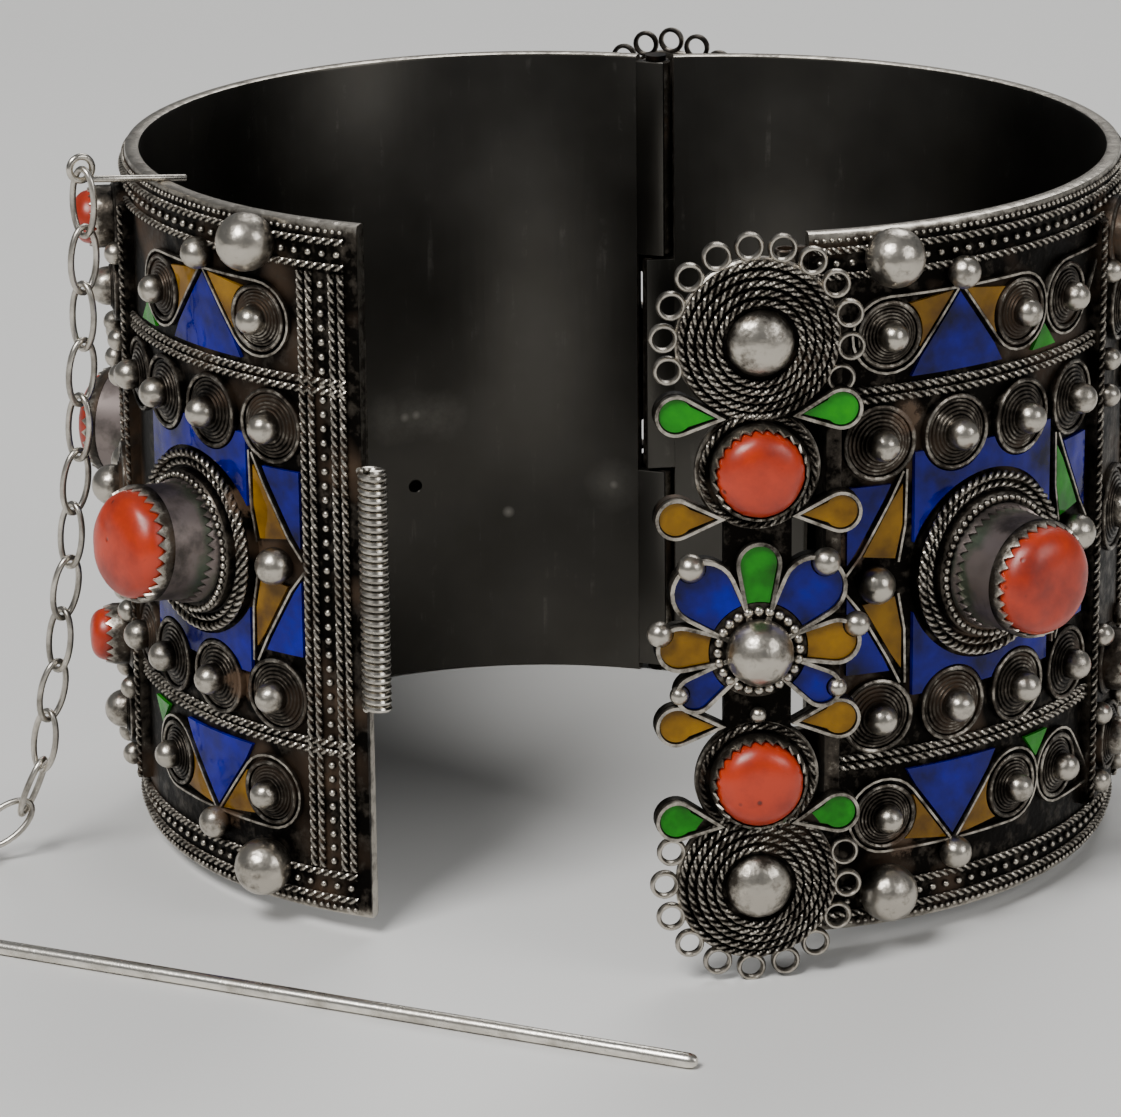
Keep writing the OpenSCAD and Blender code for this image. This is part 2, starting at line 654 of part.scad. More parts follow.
left_band();
right_band();
hinge_pin();
closing_pin();
chain();
left_side() coral_stone(panel_m[0] + left_shift, left_tilt);  // left_coral_front
left_side() coral_stone(panel_m[1]);  // left_coral_side
left_side() coral_stone(panel_m[2]);  // left_coral_back
right_side() coral_stone(panel_m[0] + right_shift);  // right_coral_front
right_side() coral_stone(panel_m[1]);  // right_coral_side
right_side() coral_stone(panel_m[2]);  // right_coral_back
left_side() strip_coral(strip_m[0], strip_coral_z[0]);  // left_strip_coral_1
left_side() strip_coral(strip_m[0], strip_coral_z[1]);  // left_strip_coral_2
left_side() strip_coral(strip_m[1], strip_coral_z[0]);  // left_strip_coral_3
left_side() strip_coral(strip_m[1], strip_coral_z[1]);  // left_strip_coral_4
right_side() strip_coral(strip_m[0], strip_coral_z[0]);  // right_strip_coral_1
right_side() strip_coral(strip_m[0], strip_coral_z[1]);  // right_strip_coral_2
right_side() strip_coral(strip_m[1], strip_coral_z[0]);  // right_strip_coral_3
right_side() strip_coral(strip_m[1], strip_coral_z[1]);  // right_strip_coral_4
closure_face() flat_coral(closure_coral_z[0]);  // closure_coral_top
closure_face() flat_coral(closure_coral_z[1]);  // closure_coral_bottom
cover_face() flat_coral(closure_coral_z[0]);  // cover_coral_top
cover_face() flat_coral(closure_coral_z[1]);  // cover_coral_bottom
left_enamel_blue();
left_enamel_amber();
left_enamel_green();
right_enamel_blue();
right_enamel_amber();
right_enamel_green();
closure_enamel_blue();
closure_enamel_amber();
closure_enamel_green();
cover_enamel_blue();
cover_enamel_amber();
cover_enamel_green();
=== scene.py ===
"""Finish of a hinged silver bracelet with enamel and coral, open on a pale table.

Meshes are built in millimetres. Most of them lie in the frame of one closed half, with the mouth at -Y
and the hinge at +Y, where m is the distance along the arc from the mouth and z the height. They are then
opened about the hinge, leant back and stood on the table in metres. A "wear" value at each point says
how high a spot is: 0 in a recess, where the oxide stays, and 1 where handling has polished the silver.
The same value paints shade: its low values darken hollows, the feet of granules and the grooves of
wires, so the dark tone there is painted shade as well as oxide.
"""

import json
import logging
import math
from collections.abc import Callable, Sequence
from dataclasses import dataclass
from enum import Enum

import bmesh
import bpy
from mathutils import Matrix, Vector, noise

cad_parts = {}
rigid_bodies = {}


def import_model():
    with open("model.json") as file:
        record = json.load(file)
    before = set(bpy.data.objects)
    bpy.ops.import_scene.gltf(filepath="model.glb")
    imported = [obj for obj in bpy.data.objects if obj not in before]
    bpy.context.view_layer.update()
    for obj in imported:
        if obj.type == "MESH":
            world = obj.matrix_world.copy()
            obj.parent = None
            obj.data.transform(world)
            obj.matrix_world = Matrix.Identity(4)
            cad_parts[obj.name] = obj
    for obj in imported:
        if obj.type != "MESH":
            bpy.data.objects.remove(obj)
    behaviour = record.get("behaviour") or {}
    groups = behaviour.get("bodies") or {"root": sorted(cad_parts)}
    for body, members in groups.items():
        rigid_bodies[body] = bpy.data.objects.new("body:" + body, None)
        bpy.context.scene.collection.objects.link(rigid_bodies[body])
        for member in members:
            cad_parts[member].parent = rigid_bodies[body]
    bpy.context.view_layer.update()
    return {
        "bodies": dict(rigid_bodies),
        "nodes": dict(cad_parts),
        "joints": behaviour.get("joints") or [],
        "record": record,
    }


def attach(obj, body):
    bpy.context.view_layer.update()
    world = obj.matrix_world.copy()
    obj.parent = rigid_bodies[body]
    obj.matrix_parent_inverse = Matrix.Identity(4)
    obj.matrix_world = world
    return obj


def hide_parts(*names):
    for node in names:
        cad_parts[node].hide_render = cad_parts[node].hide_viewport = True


log = logging.getLogger("bracelet")

MM = 0.001
FULL_TURN = 2 * math.pi
# Edges sharper than this stay crisp
CREASE_DEG = 38
# Width of the photograph and its focal length, in pixels
PHOTO_WIDTH = 1121
PHOTO_FOCAL_PX = 5060

Material = bpy.types.Material
Socket = bpy.types.NodeSocket
Outline = Sequence[tuple[float, float]]
Profile = Sequence[tuple[float, float, float]]


class Half(Enum):
    """Which half of the bracelet, as the sign of its turn about the hinge."""

    LEFT = -1
    RIGHT = 1

    @property
    def side(self) -> str:
        """Name of the half in the names of nodes and bodies."""
        return self.name.lower()


class Area(Enum):
    """Material slot of a silver piece."""

    ORNAMENT = 0
    WALL = 1
    COLLAR = 2
    BRIGHT = 3


@dataclass(frozen=True)
class Band:
    """Sizes and places that both halves share, in millimetres and degrees."""

    radius: float = 32.5
    sheet: float = 1.25
    height: float = 56.5
    mouth_half: float = 1.35
    hinge_half: float = 1.45
    half_open: float = 14.13
    strip_drop: float = 1.75
    strip_reach: float = 35.7
    strip_x: float = -3.3
    strip_under: float = 3.7
    strip_lift: float = 4.5
    mid_z: float = 28.5

    @property
    def mouth_angle(self) -> float:
        """Angle from the mouth's middle to the sheet's end, in radians."""
        return math.asin(self.mouth_half / self.radius)

    @property
    def hinge_angle(self) -> float:
        """Angle from the mouth's middle to the sheet's end at the hinge, in radians."""
        return math.pi - math.asin(self.hinge_half / self.radius)

    def arc(self, m: float, z: float, lift: float) -> Vector:
        """Point at a distance m along the arc, a height z and a lift above the outer face."""
        a = m / self.radius
        r = self.radius + lift
        return Vector((r * math.sin(a), -r * math.cos(a), z))

    def face(self, m: float, z: float, lift: float = 0.0) -> Matrix:
        """Matrix of a place on the outer face, local Z outwards and local Y up."""
        return Matrix.Rotation(m / self.radius, 4, "Z") @ self.strip(0, z, lift)

    def strip(self, x: float, z: float, lift: float = 0.0) -> Matrix:
        """Matrix of a place on the flat face of the closure strip, seen from the front."""
        return Matrix.Translation((x, -self.radius - lift, z)) @ Matrix.Rotation(math.pi / 2, 4, "X")

    def cover(self, x: float, z: float, lift: float = 0.0) -> Matrix:
        """Matrix of a place on the flat face of the hinge cover, seen from behind."""
        return Matrix.Rotation(math.pi, 4, "Z") @ self.strip(x, z, lift)

    def on_table(self, half: Half) -> Matrix:
        """Matrix from a closed half in millimetres to its open place on the table in metres.

        Args:
            half: The half. The left one is the mirror image of the right one.

        Returns:
            The matrix, with a mirror image in it for the left half.
        """
        opened = math.radians(half.value * self.half_open)
        rear_y = self.radius + self.radius * (1 - math.cos(opened))
        lean = -math.atan(self.strip_drop / (rear_y + self.strip_reach))

        def about(y: float, turn: Matrix) -> Matrix:
            """A turn about an axis through a place along Y."""
            return Matrix.Translation((0, y, 0)) @ turn @ Matrix.Translation((0, -y, 0))

        stood = about(rear_y, Matrix.Rotation(lean, 4, "X"))
        turned = about(self.radius, Matrix.Rotation(opened, 4, "Z"))
        return Matrix.Scale(MM, 4) @ stood @ turned @ Matrix.Diagonal((half.value, 1, 1, 1))


BAND = Band()


def angles(count: int) -> list[float]:
    """Evenly spread angles of a full turn."""
    return [FULL_TURN * i / count for i in range(count)]


class Shape:
    """A growing mesh in millimetres, with a wear value at each point, whose low values also paint shade."""

    def __init__(self) -> None:
        """Starts an empty mesh."""
        self.bm = bmesh.new()
        # Polish and oxide of each point, and painted shade where the value is low
        self.wear = self.bm.verts.layers.float.new("wear")

    @classmethod
    def line(cls, places: Sequence[Sequence[float]], closed: bool = False) -> "Shape":
        """Makes a line of points and edges.

        Args:
            places: Each point's x, y, z and wear value, whose low values also paint shade.
            closed: Whether the last point joins the first.

        Returns:
            The new shape.
        """
        made = cls()
        points = []
        for *place, wear in places:
            points.append(made.bm.verts.new(place))
            points[-1][made.wear] = wear
        following = points[1:] + points[:1] if closed else points[1:]
        for pair in zip(points, following):
            made.bm.edges.new(pair)
        return made

    def spin(self, angle: float, steps: int, rise: float = 0.0) -> "Shape":
        """Spins all that is there about the local Z axis, with a rise for each step."""
        bmesh.ops.spin(self.bm, geom=self.bm.verts[:] + self.bm.edges[:], cent=(0, 0, 0), axis=(0, 0, 1),
                       dvec=(0, 0, rise), angle=angle, steps=steps, use_duplicate=False,
                       use_merge=angle == FULL_TURN and not rise)
        return self

    def close(self, gap: float = 1e-4) -> "Shape":
        """Merges points nearer than a gap, fills open ends and turns all faces outwards."""
        bmesh.ops.remove_doubles(self.bm, verts=self.bm.verts[:], dist=gap)
        rims = [e for e in self.bm.edges if e.is_boundary]
        if rims:
            bmesh.ops.holes_fill(self.bm, edges=rims, sides=0)
        bmesh.ops.recalc_face_normals(self.bm, faces=self.bm.faces[:])
        return self

    def area(self, area: Area) -> "Shape":
        """Gives all faces one material slot."""
        for f in self.bm.faces:
            f.material_index = area.value
        return self

    def bend(self, way: Callable[[Vector], Vector]) -> "Shape":
        """Moves each point to where a function sends it."""
        for v in self.bm.verts:
            v.co = way(v.co)
        return self

    def join(self, other: "Shape", places: Sequence[Matrix] = (Matrix.Identity(4),)) -> None:
        """Adds copies of another shape.

        Args:
            other: The shape to copy.
            places: The matrix of each copy.
        """
        pattern = bpy.data.meshes.new("pattern")
        other.bm.to_mesh(pattern)
        for place in places:
            copy = pattern.copy()
            copy.transform(place)
            self.bm.from_mesh(copy)
            bpy.data.meshes.remove(copy)
        bpy.data.meshes.remove(pattern)

    def stand(self, name: str, half: Half, node: str, slot: str, materials: Sequence[Material],
              place: Matrix | None = None) -> None:
        """Makes the finished piece, with its place in its mesh, attaches it to its half's body and hides the
        solid that it stands for.

        Args:
            name: Name of the piece.
            half: The half that it rides on.
            node: Name of the solid that it stands for.
            slot: Not used.
            materials: Its materials in the order of their slots.
            place: Matrix to the table, where it isn't the half's own.
        """
        place = place or BAND.on_table(half)
        bmesh.ops.transform(self.bm, matrix=place, verts=self.bm.verts[:])
        if place.determinant() < 0:
            bmesh.ops.reverse_faces(self.bm, faces=self.bm.faces[:])
        for f in self.bm.faces:
            f.smooth = True
        for e in self.bm.edges:
            e.smooth = e.calc_face_angle(0.0) < math.radians(CREASE_DEG)
        count = sum(len(f.verts) - 2 for f in self.bm.faces)
        mesh = bpy.data.meshes.new(name)
        self.bm.to_mesh(mesh)
        self.bm.free()
        for material in materials:
            mesh.materials.append(material)
        piece = bpy.data.objects.new(name, mesh)
        bpy.context.scene.collection.objects.link(piece)
        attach(piece, half.side + "_half")
        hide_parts(node)
        log.info("%s: %d triangles", name, count)


# Metalwork that is repeated on the bracelet
def lathe(profile: Profile, steps: int, closed: bool = False) -> Shape:
    """Turns a profile about the local Z axis.

    Args:
        profile: Radius, height and wear value of each point; low values also paint shade.
        steps: Number of steps of the full turn.
        closed: Whether the profile runs back to its start, as a tube's does.

    Returns:
        The turned shape, closed.
    """
    return Shape.line([(r, 0, z, w) for r, z, w in profile], closed).spin(FULL_TURN, steps).close()


def ring_of_wire(radius: float, wire: float, sides: int, steps: int) -> Shape:
    """A plain wire ring on the local plane."""
    return lathe([(radius + wire * math.cos(t), wire * math.sin(t), 0.6 + 0.4 * math.sin(t))
                  for t in angles(sides)], steps, True)


def block(low: Sequence[float], high: Sequence[float], wear: float) -> Shape:
    """A plain bar between two corners, with softened edges.

    Args:
        low: Its lowest corner.
        high: Its highest corner.
        wear: Its wear value, whose low values also paint shade.

    Returns:
        The bar.
    """
    made = Shape()
    bmesh.ops.create_cube(made.bm, size=1.0)
    low, high = Vector(low), Vector(high)
    placed = Matrix.Translation((low + high) / 2) @ Matrix.Diagonal((*(high - low), 1))
    bmesh.ops.transform(made.bm, matrix=placed, verts=made.bm.verts[:])
    bmesh.ops.bevel(made.bm, geom=made.bm.edges[:], offset=0.12, segments=2, profile=0.5, affect="EDGES",
                    material=-1)
    for v in made.bm.verts:
        v[made.wear] = wear
    return made


def granule(radius: float, rise: float, steps: int = 20) -> Shape:
    """A solid granule on the local plane, dark at its foot where it is soldered, which is oxide and painted
    shade.

    Args:
        radius: Radius of the granule.
        rise: Height of its middle above the plane, in radii.
        steps: Number of steps round it.

    Returns:
        The granule.
    """
    rings = steps // 2
    low = math.pi * 0.86
    profile = [(0.0, radius * (rise + math.cos(low)), 0.0)]
    for i in range(rings + 1):
        t = low * (1 - i / rings)
        # Wear value from 1 on top to near 0 at the foot: polish above, oxide and painted shade below
        wear = min(1.0, 0.08 + 1.25 * (math.cos(t) + 1) / 2)
        profile.append((radius * math.sin(t), radius * (rise + math.cos(t)), wear))
    return lathe(profile, steps)


def grain(radius: float) -> Shape:
    """One grain of a beaded row, with few faces because it is repeated hundreds of times."""
    made = Shape()
    bmesh.ops.create_icosphere(made.bm, subdivisions=2, radius=radius)
    for v in made.bm.verts:
        # Darker towards its foot and brighter on top: painted shade as well as oxide at the foot, polish on
        # top
        v[made.wear] = min(1.0, max(0.0, 0.35 + 0.75 * v.co.z / radius))
    return made


def beads_round(count: int, radius: float, lift: float) -> list[Matrix]:
    """Places of the grains of a beaded ring on the local plane."""
    return [Matrix.Rotation(a, 4, "Z") @ Matrix.Translation((radius, 0, lift)) for a in angles(count)]


def twisted_wire(length: float, radius: float, bright: float = 1.0) -> Shape:
    """Two wires twisted together, straight along local X from the origin.

    Args:
        length: Length of the piece.
        radius: Outer radius of the twist.
        bright: Wear value of the crests; the grooves get 0, which paints shade in them as well as oxide.

    Returns:
        The twist, with its ends closed.
    """
    turn_length, steps_a_turn = 1.5, 12
    turns = max(1, round(length / turn_length))
    bundle = min(turns, 5)
    # Half of the section: turn, share of the radius, and wear value, which is 0 in the groove as painted
    # shade and oxide
    section = [(0, 1.0, 1.0), (42, 0.86, 0.75), (90, 0.42, 0.0), (138, 0.86, 0.75)]
    ring = [(math.radians(a + half), radius * r, w * bright) for half in (0, 180) for a, r, w in section]

    def stretch(count: int) -> Shape:
        """Some whole turns of the twist."""
        line = Shape.line([(r * math.cos(a), r * math.sin(a), 0, w) for a, r, w in ring], True)
        return line.spin(FULL_TURN * count, steps_a_turn * count, length / turns / steps_a_turn)

    made = Shape()
    made.join(stretch(bundle), [Matrix.Translation((0, 0, length * i * bundle / turns))
                                for i in range(turns // bundle)])
    rest = turns % bundle
    if rest:
        made.join(stretch(rest), [Matrix.Translation((0, 0, length * (turns - rest) / turns))])
    return made.close(0.004).bend(lambda p: Vector((p.z, p.x, p.y)))


def along_band(wire: Shape, m: float, z: float, lift: float) -> Shape:
    """Lays a straight wire along the band from a distance m, at one height."""
    return wire.bend(lambda p: BAND.arc(m + p.x, z + p.y, lift + p.z))


def up_band(wire: Shape, m: float, z: float, lift: float) -> Shape:
    """Lays a straight wire up the band from a height z, at one distance m."""
    return wire.bend(lambda p: BAND.arc(m - p.y, z + p.x, lift + p.z))


def twisted_ring(radius: float, lift: float, wire: float, bright: float = 1.0) -> Shape:
    """A ring of twisted wire on the local plane.

    Args:
        radius: Radius of the ring's middle line.
        lift: Height of its middle line.
        wire: Outer radius of the twist.
        bright: Wear value of the crests; the grooves get 0, which paints shade in them as well as oxide.

    Returns:
        The ring.
    """
    def way(p: Vector) -> Vector:
        """Where a point of the straight wire goes on the ring."""
        a = p.x / radius
        return Vector(((radius + p.y) * math.cos(a), (radius + p.y) * math.sin(a), lift + p.z))

    made = twisted_wire(FULL_TURN * radius, wire, bright).bend(way)
    bmesh.ops.remove_doubles(made.bm, verts=made.bm.verts[:], dist=0.01)
    return made


def fence(points: Outline, closed: bool, wide: float, high: float) -> Shape:
    """A flat wire set on edge, which keeps one enamel cell from the next.

    Args:
        points: Its line on the plane, as pairs.
        closed: Whether it runs back to its start.
        wide: Its thickness.
        high: Its height above the plane.

    Returns:
        The wire, on the local plane.
    """
    step, foot = 1.5, 0.15
    ends = list(points) + ([points[0]] if closed else [])
    line: list[tuple[float, float]] = []
    for a, b in zip(ends, ends[1:]):
        count = max(1, int(math.dist(a, b) / step))
        line += [(a[0] + (b[0] - a[0]) * i / count, a[1] + (b[1] - a[1]) * i / count) for i in range(count)]
    if not closed:
        line.append(ends[-1])
    # Foot dark and top edge bright: oxide and painted shade at the foot, polish on top
    made = Shape.line([(x, y, -foot, 0.15) for x, y in line], closed)
    lifted = bmesh.ops.extrude_edge_only(made.bm, edges=made.bm.edges[:])["geom"]
    top = [g for g in lifted if isinstance(g, bmesh.types.BMVert)]
    bmesh.ops.translate(made.bm, vec=(0, 0, high + foot), verts=top)
    for v in top:
        v[made.wear] = 0.78
    bmesh.ops.recalc_face_normals(made.bm, faces=made.bm.faces[:])
    everything = made.bm.verts[:] + made.bm.edges[:] + made.bm.faces[:]
    bmesh.ops.solidify(made.bm, geom=everything, thickness=wide)
    bmesh.ops.recalc_face_normals(made.bm, faces=made.bm.faces[:])
    return made


def ringed_disc(radius: float, ball: float, middle: float, rim: float = 0.35) -> Shape:
    """A round of coiled wire that rises like a low cone to a large granule.

    Args:
        radius: Radius of the outer wire's outside.
        ball: Radius of the granule.
        middle: Height of the granule's middle.
        rim: Height of the outer wire.

    Returns:
        The disc on the local plane.
    """
    wire, turns, rings = 0.2, 5, 8
    line = radius - wire
    # Wear values: 0 in the grooves between turns, which is oxide and painted shade, higher on the wire tops
    # and the granule's top
    profile = [(radius, -0.5, 0.0), (radius, rim - 0.1, 0.2)]
    profile += [(line + wire * math.cos(t), rim - 0.05 + wire * math.sin(t), 0.3 + 0.35 * math.sin(t))
                for t in (0.6, 1.57, 2.5)]
    neck = math.acos((rim + 0.4 - middle) / ball)
    step = (line - wire - ball * math.sin(neck)) / turns
    for i in range(turns):
        r = line - wire - step * i
        h = rim - 0.2 + 0.6 * (i + 1) / turns
        profile += [(r, h - 0.12, 0.0), (r - step * 0.3, h, 0.45), (r - step * 0.7, h, 0.45)]
    for i in range(rings + 1):
        t = neck * (1 - i / rings)
        wear = min(1.0, 0.05 + 0.6 * (math.cos(t) + 1))
        profile.append((ball * math.sin(t), middle + ball * math.cos(t), wear))
    return lathe(profile, 26)


def serrated_bezel(radius: float, low: float, high: float, teeth: int, lean: float = 0.22) -> Shape:
    """A thin collar whose teeth are pressed over a stone.

    Args:
        radius: Outer radius of the collar.
        low: Height at which it starts.
        high: Height of the teeth's points.
        teeth: Number of teeth.
        lean: How far the points lean in.

    Returns:
        The bezel round the local Z axis.
    """
    wall, shoulder, notch = 0.22, 0.75, 0.62
    made = lathe([(radius, low, 0.25), (radius, high - shoulder, 0.6), (radius - 0.04, high, 1.0),
                  (radius - wall, high, 1.0), (radius - wall, high - shoulder, 0.3),
                  (radius - wall, low, 0.0)], teeth * 4, True)
    for v in made.bm.verts:
        if v.co.z < high - 0.1:
            continue
        part = (math.atan2(v.co.y, v.co.x) / FULL_TURN * teeth) % 1
        tip = abs(part - 0.5) * 2
        v.co.z -= notch * (1 - tip) ** 0.8
        v.co.xy *= 1 - lean * tip / radius
        v[made.wear] = 0.7 + 0.3 * tip
    return made


def stone(radius: float, low: float, high: float, seed: float) -> Shape:
    """A domed coral with a slightly uneven skin.

    Args:
        radius: Radius at its girdle.
        low: Height of its flat underside.
        high: Height of its top.
        seed: Offset of its unevenness.

    Returns:
        The stone round the local Z axis.
    """
    rings = 16
    belly = low + (high - low) * 0.28
    profile = [(0.0, low, 0.0), (radius * 0.96, low, 0.0), (radius, belly, 0.2)]
    for i in range(1, rings):
        t = math.pi / 2 * i / rings
        profile.append((radius * math.cos(t) ** 0.62, belly + (high - belly) * math.sin(t) ** 0.9, 1.0))

    def way(p: Vector) -> Vector:
        """Where a point of the even dome goes."""
        rough = noise.noise(Vector((p.x * 0.45 + seed, p.y * 0.45, p.z * 0.45)))
        fine = noise.noise(Vector((p.x * 1.7, p.y * 1.7 + seed, p.z * 1.7)))
        k = 1 - 0.035 * max(0.0, rough) - 0.016 * max(0.0, fine)
        return Vector((p.x * k, p.y * k, low + (p.z - low) * (1 - 0.05 * max(0.0, -rough))))

    return lathe([*profile, (0.0, high, 1.0)], 48).bend(way)


def swept_prism(outline: Outline, low: float, high: float, wear: float) -> Shape:
    """A flat plate of one outline.

    Args:
        outline: Its corners on the local plane.
        low: Height of its underside.
        high: Height of its top.
        wear: Wear value of its top, whose low values also paint shade.

    Returns:
        The plate.
    """
    made = Shape.line([(x, y, low, 0.1) for x, y in outline], True)
    face = made.bm.faces.new(made.bm.verts[:])
    up = bmesh.ops.extrude_face_region(made.bm, geom=[face])["geom"]
    top = [g for g in up if isinstance(g, bmesh.types.BMVert)]
    bmesh.ops.translate(made.bm, vec=(0, 0, high - low), verts=top)
    for v in top:
        v[made.wear] = wear
    return made.close()


def drop_outline(radius: float, tip: float, turn: float) -> list[tuple[float, float]]:
    """Outline of a drop with its round end at the origin.

    Args:
        radius: Radius of the round end.
        tip: Distance of the point.
        turn: Turn of the point, in degrees.

    Returns:
        The corners, in order.
    """
    count = 18
    meet = math.acos(radius / tip)
    spots = [meet + (FULL_TURN - 2 * meet) * i / count for i in range(count + 1)]
    points = [(tip, 0.0)] + [(radius * math.cos(a), radius * math.sin(a)) for a in spots]
    c, s = math.cos(math.radians(turn)), math.sin(math.radians(turn))
    return [(c * x - s * y, s * x + c * y) for x, y in points]


def lobe_outline(x: float, z: float, radius: float, grown: float) -> list[tuple[float, float]]:
    """Outline of a flower's lobe, which narrows to the flower's middle.

    Args:
        x: Offset of the round end across.
        z: Offset of the round end up.
        radius: Radius of the round end.
        grown: Growth of the outline.

    Returns:
        The corners, in order.
    """
    near, far = 0.25 + grown, radius + grown
    way = math.atan2(z, x)
    lean = math.acos((near - far) / math.hypot(x, z))
    outer = [way - lean + 2 * lean * i / 14 for i in range(15)]
    inner = [way + lean + 2 * (math.pi - lean) * i / 4 for i in range(5)]
    points = [(x + far * math.cos(a), z + far * math.sin(a)) for a in outer]
    return points + [(near * math.cos(a), near * math.sin(a)) for a in inner]


# Finishes
def linear(code: str) -> tuple[float, float, float, float]:
    """Linear colour of an sRGB hex value."""
    parts = [int(code[i:i + 2], 16) / 255 for i in (1, 3, 5)]
    r, g, b = (c / 12.92 if c <= 0.04045 else ((c + 0.055) / 1.055) ** 2.4 for c in parts)
    return r, g, b, 1.0


def per_mm(size: float) -> float:
    """Noise scale on Object coordinates whose features are a size in millimetres."""
    return 1000 / size


# A place on the band: the half, the distance along its arc and the height
Spot = tuple[Half, float, float]


class Graph:
    """A material's node tree, whose textures read Object coordinates unless they are told otherwise."""

    def __init__(self, name: str) -> None:
        """Makes an empty material of that name."""
        self.material = bpy.data.materials.new(name)
        self.material.use_nodes = True
        self.tree = self.material.node_tree
        self.tree.nodes.clear()
        self.here = self.add("TexCoord", out="Object")

    def add(self, kind: str, inputs: dict | Sequence = (), out: int | str = 0,
            stops: Sequence[tuple[float, str]] = (), **settings: object) -> Socket | None:
        """Adds a node with its settings, values and links.

        Args:
            kind: The node's type name after "ShaderNode".
            inputs: A value or a socket for each input, by name or number, or in order.
            out: The output that is wanted.
            stops: Places and hex colours, for a colour ramp.
            **settings: Properties of the node.

        Returns:
            The output's socket, or None for a node without outputs.
        """
        node = self.tree.nodes.new("ShaderNode" + kind)
        for name, value in settings.items():
            setattr(node, name, value)
        values = dict(inputs if isinstance(inputs, dict) else enumerate(inputs))
        if kind.startswith("Tex") and "Vector" in node.inputs:
            values.setdefault("Vector", self.here)
        for name, value in values.items():
            if isinstance(value, Socket):
                self.tree.links.new(value, node.inputs[name])
            else:
                node.inputs[name].default_value = value
        if len(stops) > 2:
            node.color_ramp.elements.new(0.5)
        for i, (place, code) in enumerate(stops):
            node.color_ramp.elements[i].position = place
            node.color_ramp.elements[i].color = linear(code)
        return node.outputs[out] if node.outputs else None

    def near(self, spots: Sequence[Spot], size: float, lift: float) -> Socket:
        """Makes a value that is 1 at each of some spots and fades to 0 round them.

        Args:
            spots: The places on the band.
            size: Distance in millimetres at which the value reaches 0.
            lift: Lift of the places above the outer face.

        Returns:
            The value's socket.
        """
        total = None
        for half, m, z in spots:
            spot = BAND.on_table(half) @ BAND.arc(m, z, lift)
            away = self.add("VectorMath", (self.here, spot), "Value", operation="DISTANCE")
            near = self.add("MapRange", (away, 0.0, size * MM, 1.0, 0.0))
            total = self.add("Math", (total, near), operation="MAXIMUM") if total else near
        return total

    def surface(self, inputs: dict) -> Material:
        """Ends the tree in a surface with those inputs, and gives the material."""
        self.add("OutputMaterial", (self.add("BsdfPrincipled", inputs),))
        return self.material


@dataclass(frozen=True)
class OxidisedSilver:
    """Soldered and blackened silver: sulphide stays in the recesses, and handling bares the high points. Its
    tone follows the wear value, so the dark recesses are painted shade as well as oxide.

    The eye gets dark brown-grey grounds, warm white granules, thin bright lines on each wire and a few
    tufts of old wax and dust that cling between the granules.
    """

    name: str = "oxidised silver ornament"
    recess: str = "#100e0c"
    middle: str = "#4b453e"
    high: str = "#bdb6aa"
    soil: str = "#5a4430"
    tufts: tuple[Spot, ...] = (
        (Half.RIGHT, 5.0, 31.3), (Half.RIGHT, 9.4, 41.5), (Half.RIGHT, 9.4, 6.6), (Half.LEFT, 12.6, 33.2),
        (Half.LEFT, 13.4, 17.6), (Half.LEFT, 15.2, 6.4), (Half.RIGHT, 24.0, 21.0), (Half.LEFT, 46.0, 12.0))

    def make(self) -> Material:
        """Builds the material."""
        g = Graph(self.name)
        cloud = g.add("TexNoise", {"Scale": per_mm(5.0), "Detail": 4.0, "Roughness": 0.65})
        dents = g.add("TexNoise", {"Scale": per_mm(1.3), "Detail": 2.0})
        fine = g.add("TexNoise", {"Scale": per_mm(0.55), "Detail": 5.0, "Roughness": 0.7})
        level = g.add("Attribute", out="Fac", attribute_name="wear")
        for source in ((cloud, 0.3, 0.7, -0.16, 0.16), (dents, 0.35, 0.65, -0.17, 0.12),
                       (fine, 0.3, 0.7, -0.18, 0.18)):
            level = g.add("Math", (level, g.add("MapRange", source)), operation="ADD")
        level = g.add("Clamp", (level,))
        # Dark in recesses and light on high points, from the wear value: oxide and painted shade below,
        # polish above
        tone = g.add("ValToRGB", (level,), stops=((0.12, self.recess), (0.5, self.middle), (0.92, self.high)))
        dirt = g.add("TexNoise", {"Scale": per_mm(9.0), "Detail": 2.0})
        dirt = g.add("MapRange", (dirt, 0.56, 0.7, 0.0, 0.7))
        low = g.add("MapRange", (level, 0.1, 0.55, 1.0, 0.0))
        dirt = g.add("Math", (dirt, low), operation="MULTIPLY")
        tuft = g.add("Math", (g.near(self.tufts, 2.6, 0.6), fine), operation="MULTIPLY")
        tuft = g.add("MapRange", (tuft, 0.2, 0.32, 0.0, 0.85))
        dirt = g.add("Math", (dirt, tuft), operation="MAXIMUM")
        tone = g.add("Mix", {0: dirt, 6: tone, 7: linear(self.soil)}, 2, data_type="RGBA")
        metal = g.add("MapRange", (dirt, 0.0, 0.8, 1.0, 0.35))
        rough = g.add("MapRange", (level, 0.1, 0.95, 0.55, 0.3))
        bump = g.add("Bump", {"Height": dents, "Strength": 0.5, "Distance": 0.25 * MM})
        bump = g.add("Bump", {"Height": fine, "Strength": 0.35, "Distance": 0.06 * MM, "Normal": bump})
        return g.surface({"Base Color": tone, "Metallic": metal, "Roughness": rough, "Normal": bump})


